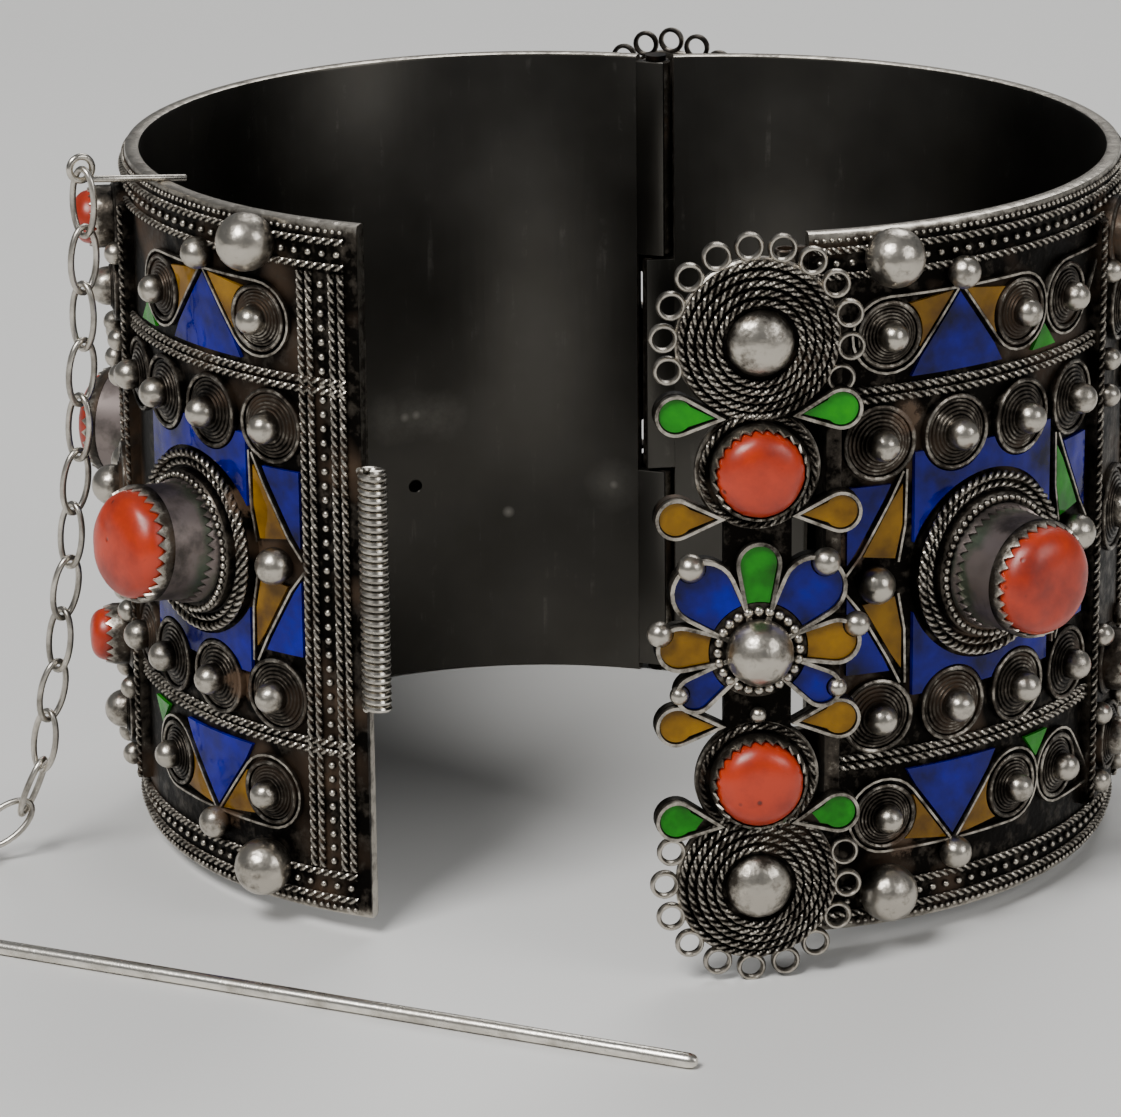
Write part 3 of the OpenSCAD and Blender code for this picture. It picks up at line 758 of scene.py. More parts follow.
@dataclass(frozen=True)
class WornWall:
    """Rolled silver sheet inside the band, burnished by a wrist and tarnished grey in clouds.

    The eye gets a dark, soft mirror with fine scratches, cloudy patches, a few pale dents and one small hole,
    whose dark inside is painted black as shade.
    """

    name: str = "tarnished rolled silver sheet"
    dark: str = "#36342f"
    light: str = "#5f5c57"
    pale: str = "#a09c94"
    hole_shade: str = "#050505"
    smears: tuple[Spot, ...] = (
        (Half.LEFT, 77.5, 24.1), (Half.LEFT, 79.0, 24.3), (Half.LEFT, 80.5, 24.3), (Half.LEFT, 82.0, 24.1),
        (Half.LEFT, 98.3, 17.3), (Half.LEFT, 60.0, 33.0), (Half.RIGHT, 64.0, 22.0))
    dents: tuple[Spot, ...] = (
        (Half.LEFT, 78.7, 24.1), (Half.LEFT, 79.8, 24.2), (Half.LEFT, 98.3, 17.3), (Half.LEFT, 88.4, 14.6),
        (Half.RIGHT, 70.0, 30.0))
    holes: tuple[Spot, ...] = ((Half.LEFT, 79.6, 17.6),)

    def make(self) -> Material:
        """Builds the material."""
        g = Graph(self.name)
        inside = -BAND.sheet
        cloud = g.add("TexNoise", {"Scale": per_mm(24.0), "Detail": 5.0, "Roughness": 0.5})
        patch = g.add("TexNoise", {"Scale": per_mm(3.0), "Detail": 5.0, "Roughness": 0.75})
        upright = g.add("Mapping", {"Vector": g.here, "Scale": (1.0, 1.0, 0.08)})
        scratch = g.add("TexNoise", {"Vector": upright, "Scale": per_mm(0.7), "Detail": 3.0})
        tone = g.add("ValToRGB", (cloud,), stops=((0.3, self.dark), (0.72, self.light)))
        smear = g.add("Math", (g.near(self.smears, 3.4, inside), patch), operation="MULTIPLY")
        smear = g.add("MapRange", (smear, 0.1, 0.5, 0.0, 0.3))
        line = g.add("MapRange", (scratch, 0.6, 0.72, 0.0, 0.3))
        scuff = g.add("MapRange", (patch, 0.5, 0.75, 0.0, 1.0))
        line = g.add("Math", (line, scuff), operation="MULTIPLY")
        bare = g.add("Math", (smear, line), operation="MAXIMUM")
        bare = g.add("Math", (bare, g.near(self.dents, 0.6, inside)), operation="MAXIMUM")
        tone = g.add("Mix", {0: bare, 6: tone, 7: linear(self.pale)}, 2, data_type="RGBA")
        # Painted shade: the small hole is painted near black instead of being cut
        hole = g.add("MapRange", (g.near(self.holes, 0.9, inside), 0.3, 0.45, 0.0, 1.0))
        tone = g.add("Mix", {0: hole, 6: tone, 7: linear(self.hole_shade)}, 2, data_type="RGBA")
        rough = g.add("MapRange", (cloud, 0.3, 0.7, 0.26, 0.36))
        rough = g.add("Math", (bare, 0.2, rough), operation="MULTIPLY_ADD")
        bump = g.add("Bump", {"Height": hole, "Strength": 0.6, "Distance": 0.3 * MM}, invert=True)
        bump = g.add("Bump", {"Height": scratch, "Strength": 0.18, "Distance": 0.04 * MM, "Normal": bump})
        return g.surface({"Base Color": tone, "Metallic": 1.0, "Roughness": rough, "Normal": bump})


@dataclass(frozen=True)
class CollarSilver:
    """Sheet silver of the stone collars, stained pinkish grey, with green-grey wax at the foot, where the low
    wear value also paints shade.

    The eye gets a dull, slightly rosy tube with dark stains that turns green-grey below.
    """

    name: str = "stained silver collar sheet"
    rose: str = "#7f7470"
    foot: str = "#5a6354"
    stain: str = "#37332f"

    def make(self) -> Material:
        """Builds the material."""
        g = Graph(self.name)
        wear = g.add("Attribute", out="Fac", attribute_name="wear")
        cloud = g.add("TexNoise", {"Scale": per_mm(2.5), "Detail": 4.0})
        shift = g.add("MapRange", (cloud, 0.3, 0.7, -0.25, 0.25))
        level = g.add("Math", (wear, shift), operation="ADD", use_clamp=True)
        # Green-grey towards the foot, where the wear value is low, which is partly painted shade
        tone = g.add("ValToRGB", (level,), stops=((0.3, self.foot), (0.65, self.rose)))
        patch = g.add("TexNoise", {"Scale": per_mm(5.5), "Detail": 5.0, "Roughness": 0.65})
        patch = g.add("MapRange", (patch, 0.47, 0.62, 0.0, 0.8))
        tone = g.add("Mix", {0: patch, 6: tone, 7: linear(self.stain)}, 2, data_type="RGBA")
        rough = g.add("MapRange", (cloud, 0.3, 0.7, 0.35, 0.5))
        return g.surface({"Base Color": tone, "Metallic": 0.8, "Roughness": rough})


@dataclass(frozen=True)
class DrawnSilver:
    """Drawn silver wire.

    The eye gets bright metal where it is handled, with fine lines and a few dull spots.
    """

    name: str
    dark: str
    light: str
    gloss: float

    def make(self) -> Material:
        """Builds the material."""
        g = Graph(self.name)
        cloud = g.add("TexNoise", {"Scale": per_mm(3.0), "Detail": 5.0, "Roughness": 0.65})
        fine = g.add("TexNoise", {"Scale": per_mm(0.4), "Detail": 3.0})
        tone = g.add("ValToRGB", (cloud,), stops=((0.28, self.dark), (0.62, self.light)))
        rough = g.add("MapRange", (cloud, 0.3, 0.7, self.gloss + 0.14, self.gloss))
        bump = g.add("Bump", {"Height": fine, "Strength": 0.3, "Distance": 0.05 * MM})
        return g.surface({"Base Color": tone, "Metallic": 1.0, "Roughness": rough, "Normal": bump})


@dataclass(frozen=True)
class PolishedCoral:
    """Red coral, cut and polished by hand, with small dark pits.

    The eye gets an opaque orange red with soft deeper clouds and a waxy shine.
    """

    name: str = "polished red coral"
    light: str = "#b83004"
    deep: str = "#7a1803"
    pit: str = "#300a05"

    def make(self) -> Material:
        """Builds the material."""
        g = Graph(self.name)
        cloud = g.add("TexNoise", {"Scale": per_mm(4.0), "Detail": 5.0, "Roughness": 0.6})
        tone = g.add("ValToRGB", (cloud,), stops=((0.3, self.deep), (0.6, self.light)))
        cells = g.add("TexVoronoi", {"Scale": per_mm(1.6)}, "Distance")
        pits = g.add("MapRange", (cells, 0.07, 0.16, 1.0, 0.0))
        rare = g.add("TexNoise", {"Scale": per_mm(3.1)})
        rare = g.add("MapRange", (rare, 0.5, 0.58, 0.0, 0.8))
        pits = g.add("Math", (pits, rare), operation="MULTIPLY")
        tone = g.add("Mix", {0: pits, 6: tone, 7: linear(self.pit)}, 2, data_type="RGBA")
        height = g.add("Math", (cloud, pits), operation="SUBTRACT")
        bump = g.add("Bump", {"Height": height, "Strength": 0.5, "Distance": 0.1 * MM})
        rough = g.add("MapRange", (cloud, 0.3, 0.7, 0.42, 0.28))
        return g.surface({"Base Color": tone, "Roughness": rough, "IOR": 1.56, "Normal": bump,
                          "Subsurface Weight": 0.12, "Subsurface Radius": (1.2 * MM, 0.4 * MM, 0.2 * MM)})


@dataclass(frozen=True)
class GlassEnamel:
    """Glass enamel melted into its cell and a little scuffed.

    The eye gets a deep colour that pools unevenly under a wavy, wet gloss.
    """

    name: str
    deep: str
    light: str

    def make(self) -> Material:
        """Builds the material."""
        g = Graph(self.name)
        cloud = g.add("TexNoise", {"Scale": per_mm(3.5), "Detail": 4.0, "Roughness": 0.55})
        tone = g.add("ValToRGB", (cloud,), stops=((0.3, self.deep), (0.7, self.light)))
        waves = g.add("TexNoise", {"Scale": per_mm(2.2), "Detail": 1.0})
        bump = g.add("Bump", {"Height": waves, "Strength": 0.6, "Distance": 0.25 * MM})
        return g.surface({"Base Color": tone, "Roughness": 0.1, "IOR": 1.55, "Specular IOR Level": 0.2,
                          "Normal": bump})


class Finishes:
    """All materials of the bracelet, made once."""

    def __init__(self) -> None:
        """Makes every material."""
        self.ornament = OxidisedSilver().make()
        bright = DrawnSilver("burnished silver", "#6f6a62", "#cfc9be", 0.2).make()
        # In the order of Area
        self.silver = [self.ornament, WornWall().make(), CollarSilver().make(), bright]
        self.pin = DrawnSilver("drawn silver pin wire", "#a9a397", "#efeae0", 0.2).make()
        self.chain = DrawnSilver("drawn silver chain wire", "#7b766e", "#d2ccc1", 0.27).make()
        self.coral = PolishedCoral().make()
        self.enamel = {"blue": GlassEnamel("cobalt glass enamel", "#00002c", "#000090").make(),
                       "amber": GlassEnamel("amber glass enamel", "#4e3200", "#946a00").make(),
                       "green": GlassEnamel("leaf green glass enamel", "#0a4a02", "#1c980e").make()}

    def dress(self, frame: dict, where: str) -> None:
        """Gives the carried-over enamel of one place its glass."""
        for colour, material in self.enamel.items():
            dress(frame["nodes"][f"{where}_enamel_{colour}"], material)


def dress(node: bpy.types.Object, material: Material) -> None:
    """Gives a carried-over solid its material."""
    node.data.materials.clear()
    node.data.materials.append(material)


# The two halves
@dataclass
class HalfBand:
    """One half of the band: its wall, wires, ringed discs, collars and divider strips."""

    half: Half
    finishes: Finishes
    knuckles: Outline
    first: float = 13.9
    shift: float = -0.4
    nudge: float = 0.0
    tilt: float = 0.0
    big_ball_m: float = 7.6
    big_ball_z: tuple[float, float] = (3.25, 54.5)
    wire_start: float = 1.6
    wire_r: float = 0.31
    wire_lift: float = 0.22
    # Angle that the wires stay off the hinge, in degrees
    wire_stop: float = 0.6
    # Distance of the wires from each rim, and heights of those between the registers
    rim_wires: tuple[float, ...] = (1.4, 3.4)
    divider_wires: tuple[float, ...] = (13.65, 14.4, 43.15, 43.95)
    # Radius of the grains, their pitch and their distance from each rim
    bead_rows: tuple[tuple[float, float, float], ...] = ((0.3, 1.25, 2.4), (0.2, 0.62, 0.62))
    bead_lift: float = 0.08
    panels: tuple[float, ...] = (17.5, 52.0, 84.0)
    strips: tuple[float, ...] = (35.0, 69.0)
    strip_half_wide: float = 3.9
    strip_rise: float = 0.8
    strip_twist_m: float = 3.55
    strip_disc_z: tuple[float, float] = (9.0, 45.4)
    strip_ball_m: float = 2.75
    strip_ball_r: float = 0.95
    strip_coral_r: float = 2.2
    strip_coral_top: float = 4.3
    disc_offsets: tuple[float, ...] = (-10.1, -3.4, 3.4, 10.1)
    disc_z: tuple[float, float] = (17.6, 39.7)
    register_z: tuple[float, float] = (9.2, 48.2)
    apex_z: tuple[float, float] = (5.2, 52.4)
    disc_r: float = 3.05
    disc_ball: float = 1.25
    register_r: float = 2.7
    register_ball: float = 1.15
    # Half the room along the arc that a disc, an apex granule and a side granule need
    disc_room: float = 2.4
    apex_room: float = 1.2
    side_room: float = 1.0
    apex_ball: float = 1.3
    side_ball: float = 1.5
    big_ball: float = 2.3
    unit: float = 18.4
    unit_count: int = 5
    drop_offset: float = 6.2
    side_offset: float = 10.5
    mirror_z: float = 28.75
    coral_r: float = 4.35
    coral_floor: float = 5.1
    coral_tops: tuple[float, ...] = (8.5, 8.1, 8.1)
    strip_coral_z: tuple[float, float] = (15.6, 51.2)
    strip_ball_z: tuple[float, ...] = (6, 11.8, 18.5, 38.6, 41.6, 48.8)
    hinge_clear_m: float = 94.0

    @property
    def units(self) -> list[float]:
        """Middle of each unit of two drops."""
        return [self.first + i * self.unit for i in range(self.unit_count)]

    def clear(self, m: float, wide: float) -> bool:
        """Whether an ornament of that half width stays off the strips and the hinge."""
        off_strips = min(abs(m - s) for s in self.strips) > self.strip_half_wide + wide
        return off_strips and m + wide < self.hinge_clear_m

    def panel_m(self, p: float) -> float:
        """Middle of a panel; only the first one is out of true."""
        return p + (self.shift if p == self.panels[0] else 0)

    def disc_m(self, p: float, offset: float) -> float:
        """Place of one ringed disc of a panel."""
        if p == self.panels[0]:
            offset = min(offset + self.nudge, self.disc_offsets[-1])
        return self.panel_m(p) + offset

    def side_ball_m(self, p: float, side: int) -> float:
        """Place of the granule beside a collar."""
        nudge = self.nudge if p == self.panels[0] and side < 0 else 0
        return self.panel_m(p) + side * self.side_offset + nudge

    def collar_place(self, p: float) -> Matrix:
        """Matrix of a collar, which tilts up on one panel only."""
        tilt = self.tilt if p == self.panels[0] else 0
        return BAND.face(self.panel_m(p), BAND.mid_z) @ Matrix.Rotation(-math.radians(tilt), 4, "X")

    def finish(self, name: str, made: Shape) -> None:
        """Stands a silver shape with its half."""
        side = self.half.side
        made.stand(f"{side}_{name}", self.half, side + "_band", "silver", self.finishes.silver)

    def wall(self) -> None:
        """Builds the curved sheet with rounded rims and the hinge knuckles."""
        out, inner, top, soft, lip = BAND.radius, BAND.radius - BAND.sheet, BAND.height, 0.28, 0.08
        # Wear values: rim lips bright, the outer face low as the ground between ornaments, which is oxide and
        # painted shade
        rows = [(inner + soft, 0, 0.8), (out - soft, 0, 0.9), (out - lip, lip, 1.0), (out, soft, 0.7),
                (out, 1.0, 0.12), (out, top - 1.0, 0.12), (out, top - soft, 0.75),
                (out - lip, top - lip, 1.0), (out - soft, top, 0.9), (inner + soft, top, 0.9),
                (inner + lip, top - lip, 1.0), (inner, top - soft, 0.6), (inner, soft, 0.6),
                (inner + lip, lip, 1.0)]
        a = BAND.mouth_angle - math.pi / 2
        sheet = Shape.line([(r * math.cos(a), r * math.sin(a), z, w) for r, z, w in rows], True)
        sheet.spin(BAND.hinge_angle - BAND.mouth_angle, 110).close()
        for f in sheet.bm.faces:
            if f.calc_center_median().xy.length < inner + 0.05:
                f.material_index = Area.WALL.value
        for low, high in self.knuckles:
            rows = [(0.55, low, 0), (1.1, low, 0.4), (1.25, low + 0.15, 0.5), (1.25, high - 0.15, 0.5),
                    (1.1, high, 0.4), (0.55, high, 0)]
            sheet.join(lathe(rows, 28, True), [Matrix.Translation((0, out, 0))])
            sheet.join(block((0.8, out - 1.15, low), (2.2, out - 0.2, high), 0.3))
            sheet.join(block((-1.1, inner, low), (1.6, inner + 0.4, high), 0.3).area(Area.WALL))
        self.finish("wall", sheet)

    def wires(self) -> None:
        """Lays the rim wires, beaded rows and divider twists along the band."""
        made = Shape()
        top = BAND.height
        length = (BAND.hinge_angle - math.radians(self.wire_stop)) * BAND.radius - self.wire_start
        for z in (*self.rim_wires, *self.divider_wires, *(top - d for d in reversed(self.rim_wires))):
            made.join(along_band(twisted_wire(length, self.wire_r), self.wire_start, z, self.wire_lift))
        for size, pitch, edge in self.bead_rows:
            made.join(grain(size), [BAND.face(self.wire_start + pitch * (i + 0.5), z, self.bead_lift)
                                    for z in (edge, top - edge) for i in range(int(length / pitch))])
        self.finish("wires", made)

    def discs(self, made: Shape) -> None:
        """Sets the ringed discs and granules of all registers."""
        spots = [(self.disc_m(p, o), z) for p in self.panels for o in self.disc_offsets for z in self.disc_z]
        made.join(ringed_disc(self.disc_r, self.disc_ball, self.disc_ball),
                  [BAND.face(m, z) for m, z in spots if self.clear(m, self.disc_room)])
        spots = [(u + s * self.drop_offset, z) for u in self.units for s in (-1, 1) for z in self.register_z]
        made.join(ringed_disc(self.register_r, self.register_ball, self.register_ball),
                  [BAND.face(m, z) for m, z in spots if self.clear(m, self.disc_room)])
        spots = [(u, z) for u in self.units for z in self.apex_z]
        made.join(granule(self.apex_ball, 0.6),
                  [BAND.face(m, z) for m, z in spots if self.clear(m, self.apex_room)])
        sides = [self.side_ball_m(p, s) for p in self.panels for s in (-1, 1)]
        made.join(granule(self.side_ball, 0.6, 24),
                  [BAND.face(m, BAND.mid_z) for m in sides if self.clear(m, self.side_room)])
        made.join(granule(self.big_ball, 0.65, 32), [BAND.face(self.big_ball_m, z) for z in self.big_ball_z])

    def collars(self, made: Shape) -> None:
        """Sets the stepped collars with their twisted and beaded rings and serrated bezels."""
        places = [BAND.face(self.panel_m(p), BAND.mid_z) for p in self.panels]
        tilted = [self.collar_place(p) for p in self.panels]
        steps = [(7.25, -1.2, 0), (7.25, 0.1, 0.1), (6.75, 0.3, 0.1), (6.0, 0.45, 0.05), (5.85, 0.5, 0.1),
                 (5.8, 1.15, 0.4), (5.6, 1.35, 0.6), (5.0, 1.4, 0.1), (4.7, 1.4, 0), (0, 1.4, 0)]
        made.join(lathe(steps, 56), places)
        tube = [(4.74, 0.4, 0.0), (4.72, 2.2, 0.2), (4.64, 3.4, 0.7), (4.62, 5.7, 0.9), (4.5, 5.75, 0.9),
                (4.5, 0.4, 0.3)]
        made.join(lathe(tube, 56, True).area(Area.COLLAR), tilted)
        made.join(serrated_bezel(5.0, 0.6, 2.5, 38, 0.1).area(Area.COLLAR), tilted)
        made.join(serrated_bezel(4.68, 5.4, 6.8, 28), tilted)
        made.join(twisted_ring(7.05, 0.5, 0.36), places)
        made.join(twisted_ring(6.3, 0.5, 0.28), places)
        made.join(grain(0.28), [place @ spot for place in places for spot in beads_round(52, 5.45, 1.4)])

    def divider_strips(self, made: Shape) -> None:
        """Raises the divider strips with their cups, bosses and granules."""
        low, high, foot, top, bevel = BAND.radius - 0.5, BAND.radius + self.strip_rise, 4.2, 53, 0.15
        rows = [(low, foot, 0), (high - bevel, foot, 0.36), (high, foot + bevel, 0.24),
                (high, top - bevel, 0.24), (high - bevel, top, 0.36), (low, top, 0)]
        cup = [(3.0, -0.5, 0), (3.0, 0.95, 0.3), (2.75, 1.1, 0.6), (2.62, 1.2, 0.1), (0, 1.2, 0)]
        for m in self.strips:
            a = (m - self.strip_half_wide) / BAND.radius - math.pi / 2
            plate = Shape.line([(r * math.cos(a), r * math.sin(a), z, w) for r, z, w in rows], True)
            made.join(plate.spin(2 * self.strip_half_wide / BAND.radius, 10).close())
            for side in (-1, 1):
                twist = twisted_wire(top - foot, 0.3, 0.8)
                made.join(up_band(twist, m + side * self.strip_twist_m, foot, self.strip_rise + 0.12))
            cups = [BAND.face(m, z) for z in self.strip_coral_z]
            made.join(lathe(cup, 36), cups)
            made.join(serrated_bezel(2.55, 1.0, 3.1, 18, 0.16), cups)
            made.join(ringed_disc(2.9, 1.6, 1.72, 1.2), [BAND.face(m, z) for z in self.strip_disc_z])
            made.join(ringed_disc(3.6, 1.7, 1.99, 1.1), [BAND.face(m, BAND.mid_z)])
            pair = (m - self.strip_ball_m, m + self.strip_ball_m)
            made.join(granule(self.strip_ball_r, 0.7, 16),
                      [BAND.face(x, z, 0.6) for z in self.strip_ball_z for x in pair])

    def cells(self, made: Shape) -> None:
        """Stands the flat wires round the enamel cells."""
        def wires(m: float, line: Outline, closed: bool) -> None:
            """Stands one wire and its mirror image in the lower half of the band."""
            for flip in (False, True):
                points = [(m + x, 2 * self.mirror_z - z if flip else z) for x, z in line]
                made.join(fence(points, closed, 0.18, 0.48).bend(lambda p: BAND.arc(*p)))

        turns = [math.radians(217 + i * 233 / 16) for i in range(17)]
        loop = [(self.drop_offset + 3.1 * math.cos(t), self.register_z[1] + 3.1 * math.sin(t)) for t in turns]
        drop = [(0.0, 51.3), *loop]
        for s in (-1, 1):
            for u in self.units:
                if self.clear(u + s * self.drop_offset, self.disc_room):
                    wires(u, [(s * x, z) for x, z in drop], True)
            for m in (self.side_ball_m(p, s) for p in self.panels):
                if self.clear(m, 2.2):
                    wires(m, [(-s * 2.3, 37.3), (-s * 1.2, 35.1), (s * 1.2, 30.9), (s * 2.5, 29.2)], False)
                    wires(m, [(-s * 2.1, 30.0), (-s * 2.65, 33.0), (-s * 2.75, 37.4)], False)

    def corals(self) -> None:
        """Sets the corals of the collars and of the divider strips."""
        side = self.half.side
        for i, where in enumerate(("front", "side", "back")):
            made = stone(self.coral_r, self.coral_floor, self.coral_tops[i], 3.1 * i + self.half.value)
            place = self.collar_place(self.panels[i])
            set_coral(f"{side}_coral_{where}", made, place, self.half, self.finishes)
        spots = [(m, z) for m in self.strips for z in self.strip_coral_z]
        for i, (m, z) in enumerate(spots, 1):
            made = stone(self.strip_coral_r, 2.2, self.strip_coral_top, 7.7 * i)
            set_coral(f"{side}_strip_coral_{i}", made, BAND.face(m, z), self.half, self.finishes)

    def build(self, frame: dict) -> None:
        """Builds all pieces of the half and dresses its enamel.

        Args:
            frame: The loaded frame.
        """
        self.wall()
        self.wires()
        relief = Shape()
        self.discs(relief)
        self.divider_strips(relief)
        self.finish("relief", relief)
        collars = Shape()
        self.collars(collars)
        self.cells(collars)
        self.finish("collars", collars)
        self.corals()
        self.finishes.dress(frame, self.half.side)


def set_coral(node: str, made: Shape, place: Matrix, half: Half, finishes: Finishes) -> None:
    """Sets one coral in a closed half's frame.

    Args:
        node: Name of the solid that it stands for.
        made: The stone round the local Z axis.
        place: Its place on the half.
        half: The half that holds it.
        finishes: All materials.
    """
    placed = Shape()
    placed.join(made, [place])
    placed.stand(node + "_stone", half, node, "coral", [finishes.coral])


@dataclass
class FlatStrip:
    """A flat strip of rosettes, corals, drops and an enamelled flower."""

    name: str
    half: Half
    finishes: Finishes
    place: Callable[[float, float, float], Matrix]
    extra: Callable[[Shape], None]
    middle_x: float
    under: float
    disc_r: float
    top_z: float
    bottom_z: float
    ringlet_circle: float
    # Number, middle and spread of the ringlets of each rosette, in degrees
    ringlet_rows: tuple[tuple[int, float, float], ...]
    coral_z: tuple[float, float] = (39.6, 14.9)
    coral_r: float = 3.4
    coral_bed_r: float = 4.8
    ringlet_r: float = 0.95
    ringlet_wire: float = 0.2
    flower_z: float = 25.4
    flower_ball: float = 2.6
    # Number, circle and radius of the grains round the flower's granule
    flower_grains: tuple[int, float, float] = (24, 3.15, 0.42)
    petal_x: float = 6.3
    petal_r: float = 1.65
    petal_tip: float = 3.9
    petals: tuple[tuple[float, float], ...] = ((44.2, 6), (36.1, 2), (19.6, 3), (11.9, 10))
    lobes: tuple[tuple[float, float, float], ...] = ((0, 6.9, 1.5), (4.25, 4.85, 2.3), (6.05, 0.45, 1.6),
                                                     (4.9, -3.25, 1.3))
    balls: tuple[tuple[float, float, float], ...] = ((5.2, 6.8, 1.1), (7.6, 1.7, 1), (6.1, -3.3, 0.75))

    def at(self, x: float, z: float, lift: float = 0.0) -> Matrix:
        """Matrix of a place on the strip's face, from the strip's middle line."""
        return self.place(self.middle_x + x, z, BAND.strip_lift + lift)

    @property
    def rosette_places(self) -> list[Matrix]:
        """Places of both rosettes."""
        return [self.at(0, z) for z in (self.top_z, self.bottom_z)]

    @property
    def coral_places(self) -> list[Matrix]:
        """Places of both corals."""
        return [self.at(0, z) for z in self.coral_z]

    def ground(self, made: Shape) -> None:
        """Lays the plate: rosette rounds, stone beds, flower bed, spine and drop trays."""
        thick = BAND.strip_lift - self.under
        for radius, places in ((self.disc_r, self.rosette_places), (self.coral_bed_r, self.coral_places)):
            rows = [(0, -thick, 0.2), (radius - 0.15, -thick, 0.4), (radius, -thick + 0.15, 0.8),
                    (radius, -0.15, 0.8), (radius - 0.15, 0, 0.6), (radius - 0.5, 0, 0.15), (0, 0, 0.1)]
            made.join(lathe(rows, 64), places)
        for side in (-1, 1):
            for x, z, r in self.lobes:
                bed = swept_prism(lobe_outline(side * x, z, r, 0.3), -thick, 0.02, 0.2)
                made.join(bed, [self.at(0, self.flower_z)])
            for z, turn in self.petals:
                lean = 180 + turn if side > 0 else -turn
                place = [self.at(side * self.petal_x, z)]
                tray = drop_outline(self.petal_r, self.petal_tip, lean)
                made.join(swept_prism(tray, -thick, 0.02, 0.3), place)
                rim = drop_outline(self.petal_r - 0.04, self.petal_tip - 0.12, lean)
                made.join(fence(rim, True, 0.24, 0.6), place)
        low, high, wide = self.bottom_z, self.top_z, 2.6
        spine = [(-wide, low), (wide, low), (wide, high), (-wide, high)]
        made.join(swept_prism(spine, -thick, 0, 0.1), [self.at(0, 0)])

    def rosettes(self, made: Shape) -> None:
        """Coils the twisted wires of both rosettes up to a smooth boss."""
        outer, inner, turns, rings = self.disc_r - 0.4, 3.15, 5, 8
        for i in range(turns):
            wire = twisted_ring(outer - (outer - inner) * i / (turns - 1), 0.25 + 0.2 * i, 0.27, 0.85)
            made.join(wire, self.rosette_places)
        cone = [(self.disc_r - 0.2, -0.1, 0), (3.0, 0.75, 0), (2.5, 0.8, 0.1), (0, 0.8, 0)]
        made.join(lathe(cone, 40), self.rosette_places)
        boss = [(2.62, 0.6, 0.1)]
        for t in (math.pi / 2 * i / rings for i in range(rings)):
            boss.append((2.6 * math.cos(t), 0.75 + 1.78 * math.sin(t), 0.3 + 0.7 * math.sin(t)))
        made.join(lathe([*boss, (0, 2.53, 1.0)], 36), self.rosette_places)

    def ringlets(self, made: Shape) -> None:
        """Sets the open ringlets round both rosettes."""
        ringlet = ring_of_wire(self.ringlet_r, self.ringlet_wire, 10, 26)
        ringlet.bend(lambda p: Vector((p.x, p.y, p.z * 2.1)))
        lift = (self.under - BAND.strip_lift) / 2
        r = self.ringlet_circle
        for z, (count, middle, spread) in zip((self.top_z, self.bottom_z), self.ringlet_rows):
            turns = [math.radians(middle - spread / 2 + i * spread / (count - 1)) for i in range(count)]
            made.join(ringlet, [self.at(r * math.cos(a), z + r * math.sin(a), lift) for a in turns])

    def settings(self, made: Shape) -> None:
        """Sets the bezels of the two corals with a twisted ring round each."""
        made.join(serrated_bezel(self.coral_r + 0.36, -0.1, 1.85, 24, 0.2), self.coral_places)
        made.join(twisted_ring(4.3, 0.25, 0.27, 0.7), self.coral_places)
        made.join(granule(0.65, 0.6, 12), [self.at(0, self.flower_z - 5.2)])

    def flower(self, made: Shape) -> None:
        """Fences the flower's enamelled lobes and sets its granules."""
        middle = self.at(0, self.flower_z)
        for side in (-1, 1):
            for x, z, r in self.lobes:
                made.join(fence(lobe_outline(side * x, z, r, 0.26), True, 0.3, 0.7), [middle])
            for x, z, r in self.balls:
                made.join(granule(r, 0.4 / r, 20), [self.at(side * x, self.flower_z + z)])
        count, circle, size = self.flower_grains
        made.join(grain(size), [middle @ spot for spot in beads_round(count, circle, 0.5)])
        made.join(lathe([(3.75, -0.1, 0), (3.75, 0.3, 0.3), (3.0, 0.4, 0.2), (0, 0.4, 0)], 40), [middle])
        made.join(granule(self.flower_ball, 0.38, 36), [middle])

    def build(self, frame: dict) -> None:
        """Builds the strip, its foot and its stones, and dresses its enamel.

        Args:
            frame: The loaded frame.
        """
        made = Shape()
        for part in (self.ground, self.rosettes, self.settings, self.flower, self.ringlets, self.extra):
            part(made)
        made.stand(self.name + "_strip", self.half, self.half.side + "_band", "silver", self.finishes.silver)
        for z, place, where in zip(self.coral_z, self.coral_places, ("top", "bottom")):
            made = stone(self.coral_r, 0.2, 2.8, z)
            set_coral(f"{self.name}_coral_{where}", made, place, self.half, self.finishes)
        self.finishes.dress(frame, self.name)


